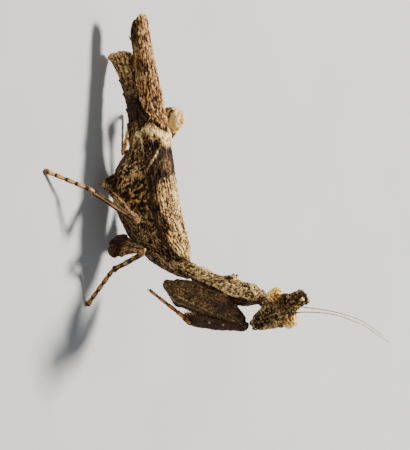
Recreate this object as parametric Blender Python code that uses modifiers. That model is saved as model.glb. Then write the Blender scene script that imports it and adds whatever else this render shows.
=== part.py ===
"""Still, life-size model of a small bark-mimicking horned mantis.

The mantis stands on a flat floor with its belly low, its prothorax raised steeply,
its forelegs folded and its head turned to its own right.

Frame: +X is the way the body points, +Y is the animal's left, +Z is up, and Z = 0 is the
floor.  The tables below are in millimetres, measured from a point on the floor under the
tip of the wings; an empty then moves the whole animal so that the middle of its box
stands over the origin.
"""
import math

import bmesh
import bpy
from mathutils import Matrix, Vector

MM = 0.001
COLLECTION = "horned_bark_mantis"

# Where the middle of the finished animal's box lies in the tables' coordinates.
CENTRE_X = 17.805
CENTRE_Y = -1.72

JOINT_GAP = 0.08        # clear space left between pieces that meet
WING_THICKNESS = 0.48
WING_ROOM = 0.64        # how far the back lies under the outer face of the wings
MIDLINE_GAP = 0.20      # between the left and the right forewing
WING_COLUMNS = 4        # places across half of the roof where its outline is set
BODY_SIDES = 12         # control points round the trunk
HEAD_SIDES = 10
LIMB_SIDES = 8
SMALL_SIDES = 6
ANTENNA_RADIUS = 0.25
FOOT_DEPTH = 0.12       # how much of each foot is cut flat at the floor

# The outside of thorax and folded forewings together, front to back.
# x, z of the section's middle, half height, half width, lean to the rear (degrees),
# and how far round from the midline the wing's lower edge reaches (degrees).
BACK = [
    (26.74, 9.11, 1.20, 1.28, 44, 58),
    (26.11, 8.28, 1.75, 1.55, 33, 66),
    (24.77, 6.93, 2.53, 2.00, 21, 74),
    (23.3, 6.10, 2.95, 2.30, 20, 70),
    (21.6, 5.25, 3.30, 2.45, 16, 64),
    (19.9, 4.70, 3.50, 2.50, 14, 62),
    (18.0, 4.30, 3.60, 2.45, 12, 62),
    (16.4, 4.35, 3.30, 2.30, 15, 66),
    (14.8, 4.80, 2.60, 2.10, 15, 82),
    (13.3, 4.90, 2.20, 1.85, 17, 86),
]
# The forewings behind the thorax, where they roll into a narrow tube.
WING_TUBE = [
    (12.0, 5.10, 1.75, 1.55, 12, 74),
    (10.6, 5.20, 1.48, 1.38, 8, 112),
    (9.0, 5.04, 1.27, 1.26, 4, 128),
    (6.5, 4.56, 1.20, 1.16, 0, 146),
    (4.0, 4.20, 1.02, 1.00, 0, 150),
    (2.5, 3.98, 1.00, 0.94, 0, 146),
    (1.25, 3.98, 0.72, 0.68, 0, 120),
]
# The abdomen: x, z, half height, half width, lean.
ABDOMEN = [
    (14.9, 4.40, 2.00, 1.92, 15),
    (13.3, 4.32, 1.50, 1.50, 16),
    (11.5, 4.00, 1.14, 1.12, 16),
    (9.2, 3.25, 0.92, 0.88, 16),
    (7.4, 2.68, 0.96, 1.00, 17),
    (6.0, 2.15, 1.10, 1.20, 14),
    (5.05, 1.68, 1.20, 1.32, 4),
]
HINDWING_START = 2      # the row of the tube where the folded hindwings begin
THORAX_FRONT = (27.21, 10.14, 0.96, 1.02, 55)   # where the thorax meets the prothorax
THORAX_END = 15.6       # x of the cut between thorax and abdomen at mid height
ABDOMEN_CUT = 10.2      # x of the cut between the abdomen's two lengths
TERGITE_CUT = 6.5       # x of the cut in front of the flared last segment
CUT_LEAN = 15           # degrees that those cuts lean to the rear

# The prothorax, from its rear end up to the neck: x, z, half depth, half width, lean.
PROTHORAX = [
    (27.31, 10.44, 0.96, 1.05, 56),
    (27.76, 11.22, 0.84, 1.08, 68),
    (28.20, 12.40, 0.80, 1.05, 80),
    (28.75, 13.70, 0.98, 1.22, 86),
    (29.15, 14.80, 1.25, 1.52, 90),
    (29.50, 15.80, 1.20, 1.40, 94),
    (29.60, 16.80, 0.85, 1.12, 92),
    (29.65, 17.70, 0.52, 0.90, 88),
]
PROTHORAX_HUMP_RING = 3     # the ring of faces that carries the paired spiked humps
PROTHORAX_KNOB_RING = 5     # the ring that carries the pair of low knobs

# The head: distance above the mouth, half width, half depth, shift of the middle forward.
HEAD = [
    (0.25, 0.48, 0.40, 0.10),
    (0.65, 0.80, 0.64, 0.12),
    (1.30, 0.98, 0.84, 0.08),
    (2.20, 1.17, 0.92, 0.02),
    (3.10, 1.34, 0.94, 0.00),
    (3.90, 1.26, 0.88, 0.00),
    (4.50, 0.94, 0.74, 0.02),
    (5.30, 0.70, 0.58, 0.02),
    (6.00, 0.64, 0.50, -0.04),
    (6.45, 0.54, 0.38, -0.08),
]
HORN_CUT = 4.75             # the horn is parted from the head this far above the mouth
MOUTH = Vector((32.44, -1.15, 17.45))
HEAD_LEAN = 27              # degrees that the head's long axis leans to the rear
HEAD_TURN = 75              # degrees that the face is turned to the animal's right
EYE_HEIGHT = 3.75
EYE_OUT = 1.44
EYE_RADII = (0.72, 0.78, 0.88)     # across, fore and aft, along the head


# ---------------------------------------------------------------- tools

def clear_scene():
    for thing in list(bpy.data.objects):
        bpy.data.objects.remove(thing, do_unlink=True)
    for group in list(bpy.data.collections):
        bpy.data.collections.remove(group)


def new_collection(name):
    group = bpy.data.collections.new(name)
    bpy.context.scene.collection.children.link(group)
    return group


def material(name, colour, roughness):
    """A plain Principled material; nothing on the animal is metal."""
    mat = bpy.data.materials.get(name)
    if mat is None:
        mat = bpy.data.materials.new(name)
        mat.use_nodes = True
        shader = mat.node_tree.nodes["Principled BSDF"]
        shader.inputs["Base Color"].default_value = (*colour, 1.0)
        shader.inputs["Roughness"].default_value = roughness
        shader.inputs["Metallic"].default_value = 0.0
    return mat


def add_object(name, mesh, mat, parts, parent):
    thing = bpy.data.objects.new(name, mesh)
    thing.data.materials.append(mat)
    thing.parent = parent
    parts.objects.link(thing)
    mesh.shade_smooth()
    return thing


def to_metres(bm):
    bmesh.ops.scale(bm, vec=(MM, MM, MM), verts=bm.verts)


def mesh_from(bm, name):
    bmesh.ops.recalc_face_normals(bm, faces=bm.faces)
    to_metres(bm)
    mesh = bpy.data.meshes.new(name)
    bm.to_mesh(mesh)
    bm.free()
    return mesh


def subdivide(thing, levels=1):
    mod = thing.modifiers.new("smooth", "SUBSURF")
    mod.levels = levels
    mod.render_levels = levels
    return mod


def swell(sides):
    """How much a ring of control points must be widened, as subdivision pulls it in."""
    return 3.0 / (2.0 + math.cos(2 * math.pi / sides))


def ring(centre, up, side, sides):
    """Points round an ellipse whose half axes are the vectors up and side."""
    grow = swell(sides)
    points = []
    for i in range(sides):
        angle = 2 * math.pi * i / sides
        points.append(centre + up * math.cos(angle) * grow + side * math.sin(angle) * grow)
    return points


def skin_rings(rings):
    """A closed bmesh through the rings, with a flat cap at either end."""
    bm = bmesh.new()
    loops = [[bm.verts.new(point) for point in points] for points in rings]
    count = len(loops[0])
    rows = []
    for first, second in zip(loops, loops[1:]):
        row = []
        for i in range(count):
            j = (i + 1) % count
            row.append(bm.faces.new((first[i], first[j], second[j], second[i])))
        rows.append(row)
    crease = bm.edges.layers.float.new("crease_edge")
    for cap in (bm.faces.new(list(reversed(loops[0]))), bm.faces.new(loops[-1])):
        for edge in cap.edges:
            edge[crease] = 1.0
    return bm, rows


def raise_spine(bm, face, reach, taper=0.2):
    """Draw a spine out of one face; reach is the vector to its tip."""
    made = bmesh.ops.extrude_discrete_faces(bm, faces=[face])["faces"][0]
    centre = made.calc_center_median()
    for vert in made.verts:
        vert.co = centre + (vert.co - centre) * taper + reach


def section(x, z, half_height, half_width, lean):
    """Middle, upward and sideways half axes of a body section that leans to the rear."""
    angle = math.radians(lean)
    up = Vector((-math.sin(angle), 0, math.cos(angle))) * half_height
    return Vector((x, 0, z)), up, Vector((0, half_width, 0))


def evaluated_mesh(thing):
    graph = bpy.context.evaluated_depsgraph_get()
    return bpy.data.meshes.new_from_object(thing.evaluated_get(graph), depsgraph=graph)


def cut_flat(bm, point, normal):
    """Remove what lies on the normal's side of a plane and close the cut."""
    geometry = bm.verts[:] + bm.edges[:] + bm.faces[:]
    result = bmesh.ops.bisect_plane(bm, geom=geometry, plane_co=point, plane_no=normal,
                                    clear_outer=True, dist=1e-7)
    rim = [item for item in result["geom_cut"] if isinstance(item, bmesh.types.BMEdge)]
    bmesh.ops.edgeloop_fill(bm, edges=rim)


def length_of(mesh, name, front, back, lean=CUT_LEAN):
    """The stretch of a lofted body between two leaning cuts, each given by its x and z."""
    bm = bmesh.new()
    bm.from_mesh(mesh)
    angle = math.radians(lean)
    forward = Vector((math.cos(angle), 0, math.sin(angle)))
    if front is not None:
        cut_flat(bm, Vector((front[0], 0, front[1])) * MM - forward * JOINT_GAP / 2 * MM, forward)
    if back is not None:
        cut_flat(bm, Vector((back[0], 0, back[1])) * MM + forward * JOINT_GAP / 2 * MM, -forward)
    bmesh.ops.recalc_face_normals(bm, faces=bm.faces)
    piece = bpy.data.meshes.new(name)
    bm.to_mesh(piece)
    bm.free()
    return piece


def carve(thing, others, cutters, gap=JOINT_GAP):
    """Cut a piece back to leave a gap round each of its neighbours."""
    for other in others:
        mesh = evaluated_mesh(other)
        bm = bmesh.new()
        bm.from_mesh(mesh)
        bm.normal_update()
        normals = [vert.normal.copy() for vert in bm.verts]
        for vert, normal in zip(bm.verts, normals):
            vert.co += normal * gap * MM
        bm.to_mesh(mesh)
        bm.free()
        tool = bpy.data.objects.new("cut_" + thing.name + "_" + other.name, mesh)
        tool.parent = other.parent
        tool.hide_render = True
        tool.display_type = "WIRE"
        cutters.objects.link(tool)
        mod = thing.modifiers.new("clear_" + other.name, "BOOLEAN")
        mod.operation = "DIFFERENCE"
        mod.solver = "EXACT"
        mod.object = tool


# ---------------------------------------------------------------- trunk

def under_wing_ring(row, sides):
    """A thorax section: full size on the flanks, sunk under the wings on the back."""
    x, z, half_height, half_width, lean, edge = row
    centre, up, side = section(x, z, half_height, half_width, lean)
    points = []
    for i, point in enumerate(ring(centre, up, side, sides)):
        angle = abs((360.0 * i / sides + 180) % 360 - 180)
        sunk = max(0.0, min(1.0, (edge + 32 - angle) / 24)) * WING_ROOM * 1.1
        inward = (centre - point).normalized()
        points.append(point + inward * sunk)
    return points


def make_trunk(parts, parent):
    """Pterothorax, abdomen in two lengths, and the flared tip, parted by thin cuts."""
    bark = material("thorax_bark", (0.20, 0.13, 0.08), 0.75)
    dull = material("abdomen_bark", (0.22, 0.16, 0.10), 0.75)
    rings = [ring(*section(*THORAX_FRONT), BODY_SIDES)]
    rings += [under_wing_ring(row, BODY_SIDES) for row in BACK[:-2]]
    rings += [ring(*section(*row), BODY_SIDES) for row in ABDOMEN]
    bm, _ = skin_rings(rings)
    whole = add_object("trunk_whole", mesh_from(bm, "trunk_whole"), bark, parts, parent)
    subdivide(whole)
    mesh = evaluated_mesh(whole)
    bpy.data.objects.remove(whole, do_unlink=True)
    first = (THORAX_END, 4.6)
    second = (ABDOMEN_CUT, 3.6)
    third = (TERGITE_CUT, 2.3)
    pieces = [
        ("pterothorax", None, first, bark),
        ("abdomen_front", first, second, dull),
        ("abdomen_rear", second, third, dull),
        ("abdomen_tip", third, None, dull),
    ]
    made = {}
    for name, front, back, mat in pieces:
        made[name] = add_object(name, length_of(mesh, name, front, back), mat, parts, parent)
    return made


def make_prothorax(parts, parent):
    """The raised prothorax with its paired spiked humps and, ahead of them, low knobs."""
    rings = [ring(*section(*row), BODY_SIDES) for row in PROTHORAX]
    bm, rows = skin_rings(rings)
    for row, reach, taper in ((PROTHORAX_HUMP_RING, 0.75, 0.15), (PROTHORAX_KNOB_RING, 0.3, 0.4)):
        for side in (0, BODY_SIDES - 1):
            face = rows[row][side]
            face.normal_update()
            out = face.calc_center_median() - Vector((29.2, 0, face.calc_center_median().z))
            raise_spine(bm, face, out.normalized() * reach + Vector((0, 0, 0.5 * reach)), taper)
    mat = material("prothorax_bark", (0.33, 0.24, 0.17), 0.75)
    thing = add_object("prothorax", mesh_from(bm, "prothorax"), mat, parts, parent)
    subdivide(thing)
    return thing


def wing_mesh(hand, name):
    """Half of the roof of forewings, as an open sheet along its outer face."""
    across = WING_COLUMNS
    rows = BACK + WING_TUBE
    bm = bmesh.new()
    grid = []
    for x, z, half_height, half_width, lean, edge in rows:
        centre, up, side = section(x, z, half_height, half_width, lean)
        line = []
        for i in range(across):
            angle = math.radians(edge) * i / (across - 1)
            point = centre + up * math.cos(angle) + side * hand * math.sin(angle)
            point.y += hand * MIDLINE_GAP / 2
            line.append(bm.verts.new(point))
        grid.append(line)
    for first, second in zip(grid, grid[1:]):
        for i in range(across - 1):
            corners = [first[i], first[i + 1], second[i + 1], second[i]]
            bm.faces.new(corners if hand > 0 else list(reversed(corners)))
    to_metres(bm)
    mesh = bpy.data.meshes.new(name)
    bm.to_mesh(mesh)
    bm.free()
    return mesh


def make_wings(parts, parent):
    mat = material("forewing_bark", (0.30, 0.21, 0.13), 0.7)
    wings = []
    for hand, name in ((1, "forewing_left"), (-1, "forewing_right")):
        thing = add_object(name, wing_mesh(hand, name), mat, parts, parent)
        shell = thing.modifiers.new("thickness", "SOLIDIFY")
        shell.thickness = WING_THICKNESS * MM
        shell.offset = -1.0
        subdivide(thing)
        wings.append(thing)
    rings = []
    for x, z, half_height, half_width, lean, _ in WING_TUBE[HINDWING_START:]:
        room = WING_THICKNESS + JOINT_GAP + 0.04
        height = max(half_height - room, 0.05)
        width = max(half_width - room, 0.05)
        rings.append(ring(*section(x, z + 0.02, height, width, lean), SMALL_SIDES))
    bm, _ = skin_rings(rings)
    under = add_object("hindwings_folded", mesh_from(bm, "hindwings_folded"),
                       material("hindwing", (0.36, 0.28, 0.20), 0.6), parts, parent)
    subdivide(under)
    return wings + [under]


# ---------------------------------------------------------------- head

def head_axes():
    """Unit vectors: up along the head, out of the face, and across it to the left eye."""
    lean = math.radians(HEAD_LEAN)
    turn = math.radians(HEAD_TURN)
    up = Vector((-math.sin(lean), 0, math.cos(lean)))
    ahead = Vector((math.cos(lean), 0, math.sin(lean)))
    face = ahead * math.cos(turn) + Vector((0, -1, 0)) * math.sin(turn)
    across = up.cross(face)
    return up, face, across


def in_head(up_by, face_by, across_by):
    up, face, across = head_axes()
    return MOUTH + up * up_by + face * face_by + across * across_by


def make_head(parts, parent, cutters):
    up, face, across = head_axes()
    rings = []
    for height, half_width, half_depth, shift in HEAD:
        centre = in_head(height, shift, 0)
        rings.append(ring(centre, face * half_depth, across * half_width, HEAD_SIDES))
    bm, _ = skin_rings(rings)
    skin = material("face_bark", (0.13, 0.09, 0.06), 0.7)
    whole = add_object("head_whole", mesh_from(bm, "head_whole"), skin, parts, parent)
    subdivide(whole)
    mesh = evaluated_mesh(whole)
    bpy.data.objects.remove(whole, do_unlink=True)
    pieces = {}
    for name, sign in (("head", 1), ("horn", -1)):
        bm = bmesh.new()
        bm.from_mesh(mesh)
        plane = in_head(HORN_CUT - sign * JOINT_GAP / 2, 0, 0) * MM
        cut_flat(bm, plane, up * sign)
        bmesh.ops.recalc_face_normals(bm, faces=bm.faces)
        piece = bpy.data.meshes.new(name)
        bm.to_mesh(piece)
        bm.free()
        pieces[name] = add_object(name, piece, skin, parts, parent)
    turned = Matrix((across, face, up)).transposed().to_4x4()
    eye_colour = material("eye", (0.62, 0.40, 0.20), 0.25)
    for hand, name in ((1, "eye_left"), (-1, "eye_right")):
        bm = bmesh.new()
        bmesh.ops.create_uvsphere(bm, u_segments=12, v_segments=8, radius=1.0)
        bmesh.ops.scale(bm, vec=EYE_RADII, verts=bm.verts)
        bmesh.ops.transform(bm, matrix=turned, verts=bm.verts)
        bmesh.ops.translate(bm, vec=in_head(EYE_HEIGHT, 0.05, EYE_OUT * hand), verts=bm.verts)
        pieces[name] = add_object(name, mesh_from(bm, name), eye_colour, parts, parent)
    carve(pieces["head"], [pieces["eye_left"], pieces["eye_right"]], cutters)
    pieces["mouthparts"] = make_mouthparts(parts, parent)
    carve(pieces["mouthparts"], [pieces["head"]], cutters)
    return pieces


def make_mouthparts(parts, parent):
    """Mandibles and lip as one blunt piece under the face, with two short palps."""
    _, face, across = head_axes()
    rows = [(0.55, 0.34, 0.30), (0.10, 0.36, 0.30), (-0.08, 0.22, 0.20)]
    rings = [ring(in_head(h, 0.08, 0), face * d, across * w, SMALL_SIDES) for h, w, d in rows]
    bm, faces = skin_rings(rings)
    for side in (1, SMALL_SIDES - 2):
        root = faces[1][side]
        reach = (root.calc_center_median() - in_head(0.5, 0.0, 0)).normalized() * 0.3
        raise_spine(bm, root, reach, 0.6)
    thing = add_object("mouthparts", mesh_from(bm, "mouthparts"),
                       material("mouthparts", (0.06, 0.04, 0.03), 0.5), parts, parent)
    subdivide(thing)
    return thing


def make_neck(parts, parent, cutters, neighbours):
    """The soft neck between the prothorax and the back of the head."""
    start = Vector((29.55, 0.0, 17.2))
    middle = Vector((29.95, -0.10, 18.2))
    end = in_head(2.3, -0.2, 0)
    rings = []
    for point, radius in ((start, 0.55), (middle, 0.60), (end, 0.55)):
        along = (end - start).normalized()
        up = along.cross(Vector((0, 1, 0))).normalized()
        side = along.cross(up).normalized()
        rings.append(ring(point, up * radius, side * radius, SMALL_SIDES))
    bm, _ = skin_rings(rings)
    thing = add_object("neck", mesh_from(bm, "neck"),
                       material("neck_skin", (0.25, 0.17, 0.11), 0.6), parts, parent)
    subdivide(thing)
    carve(thing, neighbours, cutters)
    return thing


# ---------------------------------------------------------------- tubes and limbs

def tube(name, points, radii, mat, parts, parent, flat_foot=False, steps=3):
    """A round limb or feeler: a bevelled curve through the points, made a closed mesh."""
    curve = bpy.data.curves.new(name, "CURVE")
    curve.dimensions = "3D"
    curve.bevel_depth = 1.0 * MM
    curve.bevel_resolution = 1
    curve.use_fill_caps = True
    spline = curve.splines.new("POLY")
    path = smooth_path(points, radii, steps)
    spline.points.add(len(path) - 1)
    for control, (point, radius) in zip(spline.points, path):
        control.co = (*(point * MM), 1.0)
        control.radius = radius
    rough = bpy.data.objects.new(name + "_curve", curve)
    parts.objects.link(rough)
    bpy.context.view_layer.update()
    mesh = evaluated_mesh(rough)
    bpy.data.objects.remove(rough, do_unlink=True)
    bm = bmesh.new()
    bm.from_mesh(mesh)
    bmesh.ops.remove_doubles(bm, verts=bm.verts, dist=1e-7)
    if flat_foot:
        cut_flat(bm, Vector((0, 0, 0)), Vector((0, 0, -1)))
    bmesh.ops.recalc_face_normals(bm, faces=bm.faces)
    bm.to_mesh(mesh)
    bm.free()
    mesh.name = name
    return add_object(name, mesh, mat, parts, parent)


def smooth_path(points, radii, steps):
    """Points and radii read from a smooth curve through the given ones."""
    path = []
    last = len(points) - 1
    for i in range(last):
        before = points[max(i - 1, 0)]
        after = points[min(i + 2, last)]
        for step in range(steps):
            t = step / steps
            bend_in = (points[i + 1] - before) * 0.5
            bend_out = (after - points[i]) * 0.5
            a = 2 * t ** 3 - 3 * t ** 2 + 1
            b = t ** 3 - 2 * t ** 2 + t
            c = -2 * t ** 3 + 3 * t ** 2
            d = t ** 3 - t ** 2
            point = points[i] * a + bend_in * b + points[i + 1] * c + bend_out * d
            path.append((point, radii[i] * (1 - t) + radii[i + 1] * t))
    path.append((points[last], radii[last]))
    return path


def blade(name, start, end, normal, rows, mat, parts, parent, spines=(),
          sides=LIMB_SIDES):
    """A flattened limb from start to end.

    Each row is (fraction of the length, upper reach, lower reach, half thickness), with
    the reaches measured in the limb's plane on either side of the straight line.
    Each spine is (row of faces, face in the row, length).
    """
    along = end - start
    axis = along.normalized()
    normal = (normal - axis * normal.dot(axis)).normalized()
    lower = axis.cross(normal)
    rings = []
    for fraction, upper_reach, lower_reach, half in rows:
        centre = start + along * fraction + lower * (lower_reach - upper_reach) / 2
        wide = (upper_reach + lower_reach) / 2
        rings.append(ring(centre, lower * wide, normal * half, sides))
    bm, faces = skin_rings(rings)
    for row, column, reach in spines:
        face = faces[row][column]
        raise_spine(bm, face, lower * reach)
    thing = add_object(name, mesh_from(bm, name), mat, parts, parent)
    subdivide(thing)
    return thing


# Joint places of the walking legs, in millimetres: hip, end of coxa, knee, ankle, claw.
WALKING_LEGS = {
    "hindleg_right": [(17.7, -1.6, 2.4), (18.35, -2.35, 1.15), (22.1, -5.0, 6.40),
                      (19.05, -8.3, 3.05), (17.15, -12.3, 0.0)],
    "hindleg_left": [(17.4, 1.8, 3.0), (17.5, 3.20, 4.00), (10.75, 3.95, 6.20),
                     (11.3, 4.00, 0.70), (15.3, 3.55, 0.0)],
    "midleg_right": [(24.0, -0.9, 4.4), (24.35, -1.40, 1.60), (25.1, -4.50, 7.25),
                     (27.1, -3.8, 2.80), (30.6, -3.95, 0.0)],
    "midleg_left": [(24.0, 0.9, 4.4), (24.3, 1.65, 2.00), (19.5, 4.60, 5.30),
                    (21.5, 7.0, 1.45), (25.0, 8.8, 0.0)],
}
# Half widths of a walking femur: fraction, upper, lower, half thickness.
HIND_FEMUR = [(0.0, 0.35, 0.35, 0.30), (0.08, 0.62, 0.55, 0.40), (0.30, 0.50, 0.42, 0.36),
              (0.70, 0.36, 0.34, 0.30), (0.84, 0.70, 0.55, 0.32), (0.96, 1.05, 0.60, 0.32),
              (1.04, 0.60, 0.30, 0.26)]
# The left hind femur, whose swollen knee stands out beside the wings.
KNOBBED_FEMUR = [(0.0, 0.35, 0.35, 0.30), (0.08, 0.62, 0.55, 0.40),
                 (0.30, 0.50, 0.42, 0.36), (0.70, 0.40, 0.36, 0.32),
                 (0.82, 0.98, 0.80, 0.66), (0.94, 1.10, 0.98, 0.86), (1.03, 0.70, 0.62, 0.58)]
# The lobed femur of both middle legs.
MID_FEMUR = [(0.0, 0.50, 0.50, 0.28), (0.06, 0.95, 0.95, 0.36), (0.22, 1.10, 1.35, 0.40),
             (0.42, 1.00, 1.30, 0.38), (0.60, 0.50, 0.75, 0.34), (0.88, 0.36, 0.40, 0.30),
             (1.0, 0.26, 0.28, 0.26)]
FEMUR_SHAPES = {"hindleg_right": HIND_FEMUR, "hindleg_left": KNOBBED_FEMUR,
                "midleg_right": MID_FEMUR, "midleg_left": MID_FEMUR}
# Radii along a tarsus: each of its five joints swells towards its far end.
TARSUS_RADII = [0.24, 0.21, 0.27, 0.20, 0.27, 0.20, 0.26, 0.20, 0.30, 0.25]


def pull_back(start, end, by_start, by_end):
    """The two points moved towards each other along the line that joins them."""
    along = (end - start).normalized()
    return start + along * by_start, end - along * by_end


def make_walking_leg(name, parts, parent, cutters, trunk):
    skin = material("leg_bark", (0.24, 0.17, 0.11), 0.7)
    pale = material("leg_banded", (0.45, 0.30, 0.18), 0.65)
    hip, base, knee, ankle, claw = [Vector(place) for place in WALKING_LEGS[name]]
    coxa_end = base + (hip - base).normalized() * 0.30
    coxa = tube(name + "_coxa", [hip, coxa_end], [0.62, 0.42], skin, parts, parent, steps=2)
    carve(coxa, trunk, cutters)
    plane = (base - knee).cross(ankle - knee).normalized()
    start, end = pull_back(base, knee, -0.25, 0.30)
    shape = FEMUR_SHAPES[name]
    femur = blade(name + "_femur", start, end, plane, shape, skin, parts, parent,
                  sides=SMALL_SIDES)
    carve(coxa, [femur], cutters)
    start, end = pull_back(knee, ankle, 0.36, 0.20)
    middle = (start + end) / 2 + (base - knee).normalized() * -0.12
    tibia = tube(name + "_tibia", [start, middle, end], [0.34, 0.27, 0.30], pale, parts, parent)
    carve(tibia, [femur], cutters)
    start, end = pull_back(ankle, claw, 0.18, 0.0)
    count = len(TARSUS_RADII)
    points = [start.lerp(end, i / (count - 1)) for i in range(count)]
    for i, point in enumerate(points):
        point.z += TARSUS_RADII[-1] - FOOT_DEPTH if i == count - 1 else 0.12
    tube(name + "_tarsus", points, TARSUS_RADII, pale, parts, parent, flat_foot=True, steps=1)


# Joint places of the folded forelegs: base of coxa, end of coxa, knee, start and end of
# the tibia, start of the tarsus and its claw.
FORELEGS = {
    "foreleg_right": [(29.85, -1.45, 15.0), (28.35, -1.95, 7.75), (32.20, -1.35, 16.70),
                      (32.80, -1.30, 16.50), (31.75, -1.20, 10.05),
                      (32.30, -1.75, 10.75), (29.0, -1.6, 5.95)],
    "foreleg_left": [(29.75, 1.45, 14.0), (28.35, 1.95, 6.75), (32.10, 0.30, 15.30),
                     (32.65, 0.20, 15.10), (31.65, 0.15, 8.80),
                     (32.20, 0.70, 9.50), (29.1, 0.4, 4.90)],
}
FORE_COXA = [(0.0, 0.40, 0.40, 0.34), (0.20, 0.55, 0.50, 0.42), (0.60, 0.46, 0.42, 0.38),
             (0.92, 0.42, 0.40, 0.34), (1.0, 0.28, 0.28, 0.26)]
FORE_FEMUR = [(0.0, 0.45, 0.35, 0.30), (0.12, 0.95, 0.80, 0.42), (0.28, 1.42, 1.25, 0.50),
              (0.45, 1.62, 1.36, 0.54), (0.64, 1.78, 1.02, 0.52), (0.80, 1.55, 0.72, 0.46),
              (0.92, 1.05, 0.48, 0.42), (1.0, 0.48, 0.30, 0.32)]
FORE_TIBIA = [(0.0, 0.26, 0.26, 0.28), (0.12, 0.40, 0.38, 0.32), (0.40, 0.60, 0.60, 0.34),
              (0.70, 0.86, 0.66, 0.34), (0.90, 0.86, 0.46, 0.30), (1.0, 0.40, 0.20, 0.22)]
FEMUR_SPINES = [(1, 0, 0.9), (1, SMALL_SIDES - 1, 0.9), (2, SMALL_SIDES - 1, 0.5),
                (3, SMALL_SIDES - 1, 0.5)]
FEMUR_ROLL = 0.25       # how far the femur's upper edge leans outward
FORE_TARSUS_RADII = [0.22, 0.20, 0.25, 0.19, 0.25, 0.19, 0.25, 0.19, 0.25, 0.20]


def make_foreleg(name, parts, parent, cutters, prothorax):
    """A folded raptorial leg: the broad femur lies beside the coxa, the tibia under it."""
    dark = material("foreleg_bark", (0.15, 0.11, 0.07), 0.7)
    pale = material("leg_banded", (0.45, 0.30, 0.18), 0.65)
    places = [Vector(place) for place in FORELEGS[name]]
    hip, base, knee, bend, tip, heel, claw = places
    hand = 1 if hip.y > 0 else -1
    flat = Vector((0, -1, 0))
    lower = (knee - base).normalized().cross(flat)
    rolled = flat - lower * FEMUR_ROLL * hand
    femur = blade(name + "_femur", base, knee, rolled, FORE_FEMUR, dark, parts, parent,
                  FEMUR_SPINES, sides=SMALL_SIDES)
    start, end = pull_back(hip, base, 0.0, 0.42)
    coxa = blade(name + "_coxa", start, end, flat, FORE_COXA, dark, parts, parent)
    carve(coxa, [prothorax, femur], cutters)
    tibia = blade(name + "_tibia", bend, tip, flat, FORE_TIBIA, dark, parts, parent,
                  sides=SMALL_SIDES)
    carve(tibia, [femur], cutters)
    count = len(FORE_TARSUS_RADII)
    points = [heel.lerp(claw, i / (count - 1)) for i in range(count)]
    tube(name + "_tarsus", points, FORE_TARSUS_RADII, pale, parts, parent, steps=1)


# The feelers' routes after their bases on the face, in millimetres.
ANTENNAE = {
    "antenna_left": (1, [(31.10, -2.20, 22.6), (31.05, -2.10, 24.6), (31.20, -2.10, 26.5),
                         (31.70, -2.20, 28.6), (32.45, -2.25, 30.5), (34.15, -2.40, 33.35)]),
    "antenna_right": (-1, [(30.50, -2.60, 22.8), (30.62, -2.80, 24.8), (30.85, -3.05, 26.9),
                           (31.30, -3.35, 29.0), (32.00, -3.60, 30.9), (33.50, -4.00, 33.5)]),
}


def make_antennae(parts, parent):
    mat = material("antenna", (0.50, 0.38, 0.24), 0.6)
    for name, (hand, route) in ANTENNAE.items():
        points = [in_head(3.65, 1.10, 0.38 * hand)] + [Vector(place) for place in route]
        radii = [ANTENNA_RADIUS + 0.05] + [ANTENNA_RADIUS] * len(route)
        tube(name, points, radii, mat, parts, parent)


def main():
    clear_scene()
    parts = new_collection(COLLECTION)
    cutters = new_collection("cutters")
    parent = bpy.data.objects.new("mantis_pose", None)
    parts.objects.link(parent)
    parent.location = (-CENTRE_X * MM, -CENTRE_Y * MM, 0)
    trunk = make_trunk(parts, parent)
    prothorax = make_prothorax(parts, parent)
    make_wings(parts, parent)
    pieces = make_head(parts, parent, cutters)
    make_neck(parts, parent, cutters, [prothorax, pieces["head"]])
    for name in WALKING_LEGS:
        make_walking_leg(name, parts, parent, cutters, [trunk["pterothorax"]])
    for name in FORELEGS:
        make_foreleg(name, parts, parent, cutters, prothorax)
    make_antennae(parts, parent)


main()
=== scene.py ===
"""Looks of a small horned bark mantis, modelled round its CAD solids.

Every length in this script is in millimetres in the model's own frame (+X ahead, +Y the
animal's left, +Z up, floor at Z = 0); meshes are scaled to metres as they are made.
A form is cast on the CAD nodes: rays from a line inside them find their outline, which
is then smoothed, carved and marked by formulas that follow the lie of the body.
"""
import itertools
import math

import bpy
import numpy as np
from mathutils import Matrix, Vector
from mathutils.bvhtree import BVHTree


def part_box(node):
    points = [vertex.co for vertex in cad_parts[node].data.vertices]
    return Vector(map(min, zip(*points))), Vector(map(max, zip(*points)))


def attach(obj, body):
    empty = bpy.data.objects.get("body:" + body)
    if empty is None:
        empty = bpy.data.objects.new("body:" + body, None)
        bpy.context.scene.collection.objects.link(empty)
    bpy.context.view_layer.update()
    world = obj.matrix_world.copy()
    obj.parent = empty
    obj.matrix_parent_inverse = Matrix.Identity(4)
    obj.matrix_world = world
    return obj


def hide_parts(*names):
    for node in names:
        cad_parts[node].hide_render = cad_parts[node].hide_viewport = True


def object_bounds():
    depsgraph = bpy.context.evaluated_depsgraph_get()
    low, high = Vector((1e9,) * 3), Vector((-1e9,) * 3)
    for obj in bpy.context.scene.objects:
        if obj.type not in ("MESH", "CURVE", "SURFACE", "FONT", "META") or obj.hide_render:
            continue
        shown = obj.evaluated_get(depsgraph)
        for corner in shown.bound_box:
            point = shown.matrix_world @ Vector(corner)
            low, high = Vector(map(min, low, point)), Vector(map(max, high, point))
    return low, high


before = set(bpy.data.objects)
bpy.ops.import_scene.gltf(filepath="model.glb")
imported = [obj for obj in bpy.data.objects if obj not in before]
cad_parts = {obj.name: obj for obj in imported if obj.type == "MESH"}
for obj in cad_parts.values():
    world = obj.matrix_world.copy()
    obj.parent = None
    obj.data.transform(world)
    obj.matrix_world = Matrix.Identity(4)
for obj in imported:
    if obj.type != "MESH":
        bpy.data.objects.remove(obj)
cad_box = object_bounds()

MM = 0.001
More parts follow.
